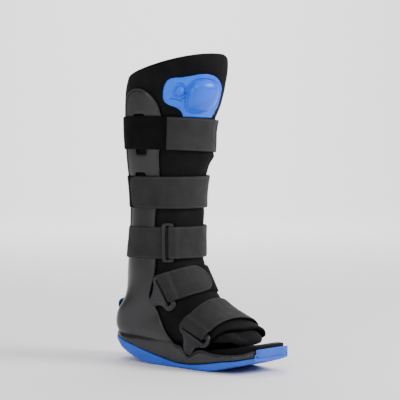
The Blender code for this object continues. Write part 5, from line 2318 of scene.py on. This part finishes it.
@dataclass
class Harness:
    """The five straps with the loops and rivets that guide them.

    Attributes:
        base: The heights of the bands that lie on the boot.
        over: The heights of the ends that lie on the bands.
        bar_past: How far behind the bar a lower band stays, in degrees.
        plate_roll: How far a plate's bar lifts a strap end.
        ring_roll: How far the ring's bar lifts its strap end.
        tip: The corner radius of the instep strap's end.
        ankle_grey: The angles between which the ankle's band shows webbing; outside them it takes the pile's
            darkest colour, as painted shade in the ring's slot.
    """

    base: Layer = Layer(1.5 * MM, 3.3 * MM)
    over: Layer = Layer(3.7 * MM, 5.2 * MM)
    bar_past: float = 6.0
    plate_roll: float = 2.8 * MM
    ring_roll: float = 3.2 * MM
    tip: float = 19.5 * MM
    ankle_grey: tuple[float, float] = (120.0, 312.0)

    def plates(self) -> tuple[SideLoop, SideLoop]:
        """The two plates on the shell's side.

        Returns:
            The two plates.
        """
        return (
            SideLoop("instep_loop", INSTEP_LOOP, INSTEP_SLOT),
            SideLoop("forefoot_loop", FOREFOOT_LOOP, FOREFOOT_SLOT),
        )

    def _round_leg(self, bodies: Sequence[Object]) -> list[tuple[Band, Course, Lay]]:
        """The bands that go round the leg."""
        calf, shin, ankle = (Course(strap, bodies) for strap in (CALF, SHIN, ANKLE))
        RingLoop().build(ankle)
        return [
            (Band("calf_strap", self.base), calf, Lay.PILE),
            (Band("calf_strap_end", self.over, -50.0, 120.0, seam=27.0), calf, Lay.WEBBING),
            (Band("shin_strap", self.base), shin, Lay.PILE),
            (Band("shin_strap_end", self.over, -112.0, 120.0, round_first=11 * MM), shin, Lay.WEBBING),
            (Band("ankle_strap", self.base), ankle, Lay.WEBBING),
            (Band("ankle_strap_end", self.over, -46.0, 120.0, roll=self.ring_roll, hold=10.8), ankle, Lay.WEBBING),
        ]

    def _over_foot(self, bodies: Sequence[Object]) -> list[tuple[Band, Course, Lay]]:
        """The bands that start at the plates and go over the foot."""
        found = []
        plates = self.plates()
        ways = (
            ("instep", INSTEP, plates[0], INSTEP_SLOT_MIDDLE, INSTEP_BAR_FRONT, 112.0, 8.0, self.tip, 104.0),
            ("forefoot", FOREFOOT, plates[1], FOREFOOT_SLOT_MIDDLE, FOREFOOT_BAR_FRONT, 120.0, 60.0, 0.0, 108.0),
        )
        for name, strap, plate, middle, bar, last, end_last, tip, rivet in ways:
            course = Course(strap, bodies)
            start, skew = course.aslant(*middle, self.base.low)
            clear = course.past(bar, skew, self.base.low) + self.bar_past
            plate.build(course)
            Rivet(f"{name}_anchor", rivet).build(course)
            found.append((Band(f"{name}_strap", self.base, clear, last), course, Lay.PILE))
            end = Band(
                f"{name}_strap_end", self.over, start, end_last, round_last=tip, roll=self.plate_roll,
                hold=clear - start, skew=skew,
            )
            found.append((end, course, Lay.WEBBING))
        return found

    def build(self, bodies: Sequence[Object]) -> list[Object]:
        """Makes and dresses the straps, loops and rivets.

        Args:
            bodies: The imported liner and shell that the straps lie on.

        Returns:
            The straps.
        """
        made = []
        for band, course, lay in self._round_leg(bodies) + self._over_foot(bodies):
            piece = band.build(course)
            smooth_shade(piece, 50.0)
            pile = lay is Lay.PILE
            colours = (PILE_BLACK, PILE_DEEP_AND_SLOT_SHADE) if pile else (WEB_GREY, WEB_DEEP)
            span = None
            # Beyond the ring the ankle band is painted dark: painted shade in the ring's slot.
            if band.name == "ankle_strap":
                span = tuple(radians(a) * course.reach(course.ROWS // 2, 0.0) for a in self.ankle_grey)
            finish = Woven(f"{band.name}_cloth", *colours, course.strap.width / 2, lay, span)
            dress(piece, finish.material())
            made.append(hand_over(piece, [band.name]))
        return made


@dataclass
class Studio:
    """The pale seamless floor, the soft lights and the camera of the picture.

    Attributes:
        azimuth: The camera's bearing from the front-left, in degrees.
        distance: Its distance from the leg's axis.
        height: Its height.
        scale: Picture pixels for a metre at the axis.
        middle: Where the foot of the leg's axis lies in the picture.
        pale: The paper's colour.
        flat: How far the floor runs behind the boot before it curves up.
        bend: The curve's radius.
        wide: Half the paper's width.
        lamps: The lights.
    """

    azimuth: float = 43.0
    distance: float = 2.35
    height: float = 0.34
    scale: float = 725.0
    middle: tuple[float, float] = (167.0, 361.0)
    pale: Colour = (0.82, 0.795, 0.815)
    flat: float = 3.4
    bend: float = 1.2
    wide: float = 5.0
    lamps: tuple[Lamp, ...] = table(
        Lamp,
        ("key", (1.75, 0.8, 1.3), (0.0, 0.0, 0.2), 1.0, 66.0),
        ("front", (0.9, -1.7, 1.5), (0.0, 0.0, 0.2), 1.2, 24.0),
        ("side", (-0.2, -1.78, 0.5), (0.0, 0.0, 0.2), 0.35, 8.0),
        ("top", (-0.2, 0.3, 2.3), (0.0, 0.0, 0.0), 1.8, 22.0),
        ("floor", (-1.1, 1.2, 2.2), (-1.6, 1.7, 0.0), 2.0, 52.0),
        ("backdrop", (-1.9, 2.1, 2.2), (-3.0, 3.2, 0.7), 2.2, 110.0),
    )

    def camera(self) -> Object:
        """Adds the camera that sees the boot as the photograph does.

        Returns:
            The camera.
        """
        az = radians(self.azimuth)
        focal = self.scale * self.distance
        away = Vector((-sin(az), cos(az), 0.0))
        right = Vector((cos(az), sin(az), 0.0))
        horizon = self.middle[1] - self.height * self.scale
        pitch = math.atan((PICTURE_PIXELS / 2 - horizon) / focal)
        yaw = math.atan((PICTURE_PIXELS / 2 - self.middle[0]) / focal)
        ahead = (away * cos(yaw) + right * sin(yaw)) * cos(pitch) - UP * sin(pitch)
        data = bpy.data.cameras.new("camera")
        data.sensor_width = SENSOR_MM
        data.lens = focal / PICTURE_PIXELS * SENSOR_MM
        camera = linked("camera", data)
        camera.location = UP * self.height - away * self.distance - BOX_CENTRE
        camera.rotation_euler = ahead.to_track_quat("-Z", "Y").to_euler()
        bpy.context.scene.camera = camera
        return camera

    def floor(self, camera: Object) -> Object:
        """Adds the floor that curves up into the backdrop.

        Args:
            camera: The camera that it faces.

        Returns:
            The floor.
        """
        away = (camera.location * -1.0).copy()
        away.z = 0.0
        away.normalize()
        right = Vector((away.y, -away.x, 0.0))
        profile = [(along, 0.0) for along in (-4.5, -1.5, 0.0, 1.5, self.flat)]
        for step in range(1, 13):
            angle = pi / 2 * step / 12
            profile.append((self.flat + self.bend * sin(angle), self.bend * (1 - cos(angle))))
        profile += [(self.flat + self.bend, high) for high in (2.4, 4.0)]
        bm = bmesh.new()
        grid = []
        for along, high in profile:
            foot = away * along + UP * high
            grid.append([bm.verts.new(foot + right * side) for side in (-self.wide, -1.0, 1.0, self.wide)])
        for low, high in zip(grid, grid[1:]):
            for i in range(3):
                bm.faces.new((low[i], low[i + 1], high[i + 1], high[i]))
        floor = from_bmesh("floor", bm)
        smooth_shade(floor, 60.0)
        material, sheet, shader, _ = started("backdrop_paper")
        sheet.fill(shader, {"Base Color": rgba(self.pale), "Roughness": 0.9, "Specular IOR Level": 0.2})
        dress(floor, material)
        return floor

    @staticmethod
    def light(lamp: Lamp) -> Object:
        """Adds a square area light.

        Args:
            lamp: Its row of the studio's table.

        Returns:
            The light.
        """
        data = bpy.data.lights.new(lamp.name, "AREA")
        data.size = lamp.size
        data.energy = lamp.watts
        light = linked(lamp.name, data)
        light.location = Vector(lamp.place) - BOX_CENTRE
        light.rotation_euler = (Vector(lamp.aim) - Vector(lamp.place)).to_track_quat("-Z", "Y").to_euler()
        return light

    def build(self) -> None:
        """Sets up the whole studio."""
        self.floor(self.camera())
        for lamp in self.lamps:
            self.light(lamp)
        world = bpy.data.worlds.new("studio")
        world.use_nodes = True
        background = next(n for n in world.node_tree.nodes if n.type == "BACKGROUND")
        background.inputs["Color"].default_value = (0.86, 0.88, 0.92, 1.0)
        background.inputs["Strength"].default_value = 0.27
        bpy.context.scene.world = world


def main() -> None:
    """Builds and dresses the whole boot and its studio."""
    logging.basicConfig(level=logging.INFO, format="%(message)s")
    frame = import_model()
    footbed = Footbed()
    sole = Sole()
    sole.build()
    footbed.build()
    Shell(sole, footbed).build()
    liner = Liner()
    liner.build()
    ToeCover().build(liner)
    HeelLoop().build()
    Pump().build()
    Harness().build([frame["nodes"]["liner"], frame["nodes"]["shell"]])
    Studio().build()
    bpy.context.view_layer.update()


if __name__ == "__main__":
    main()
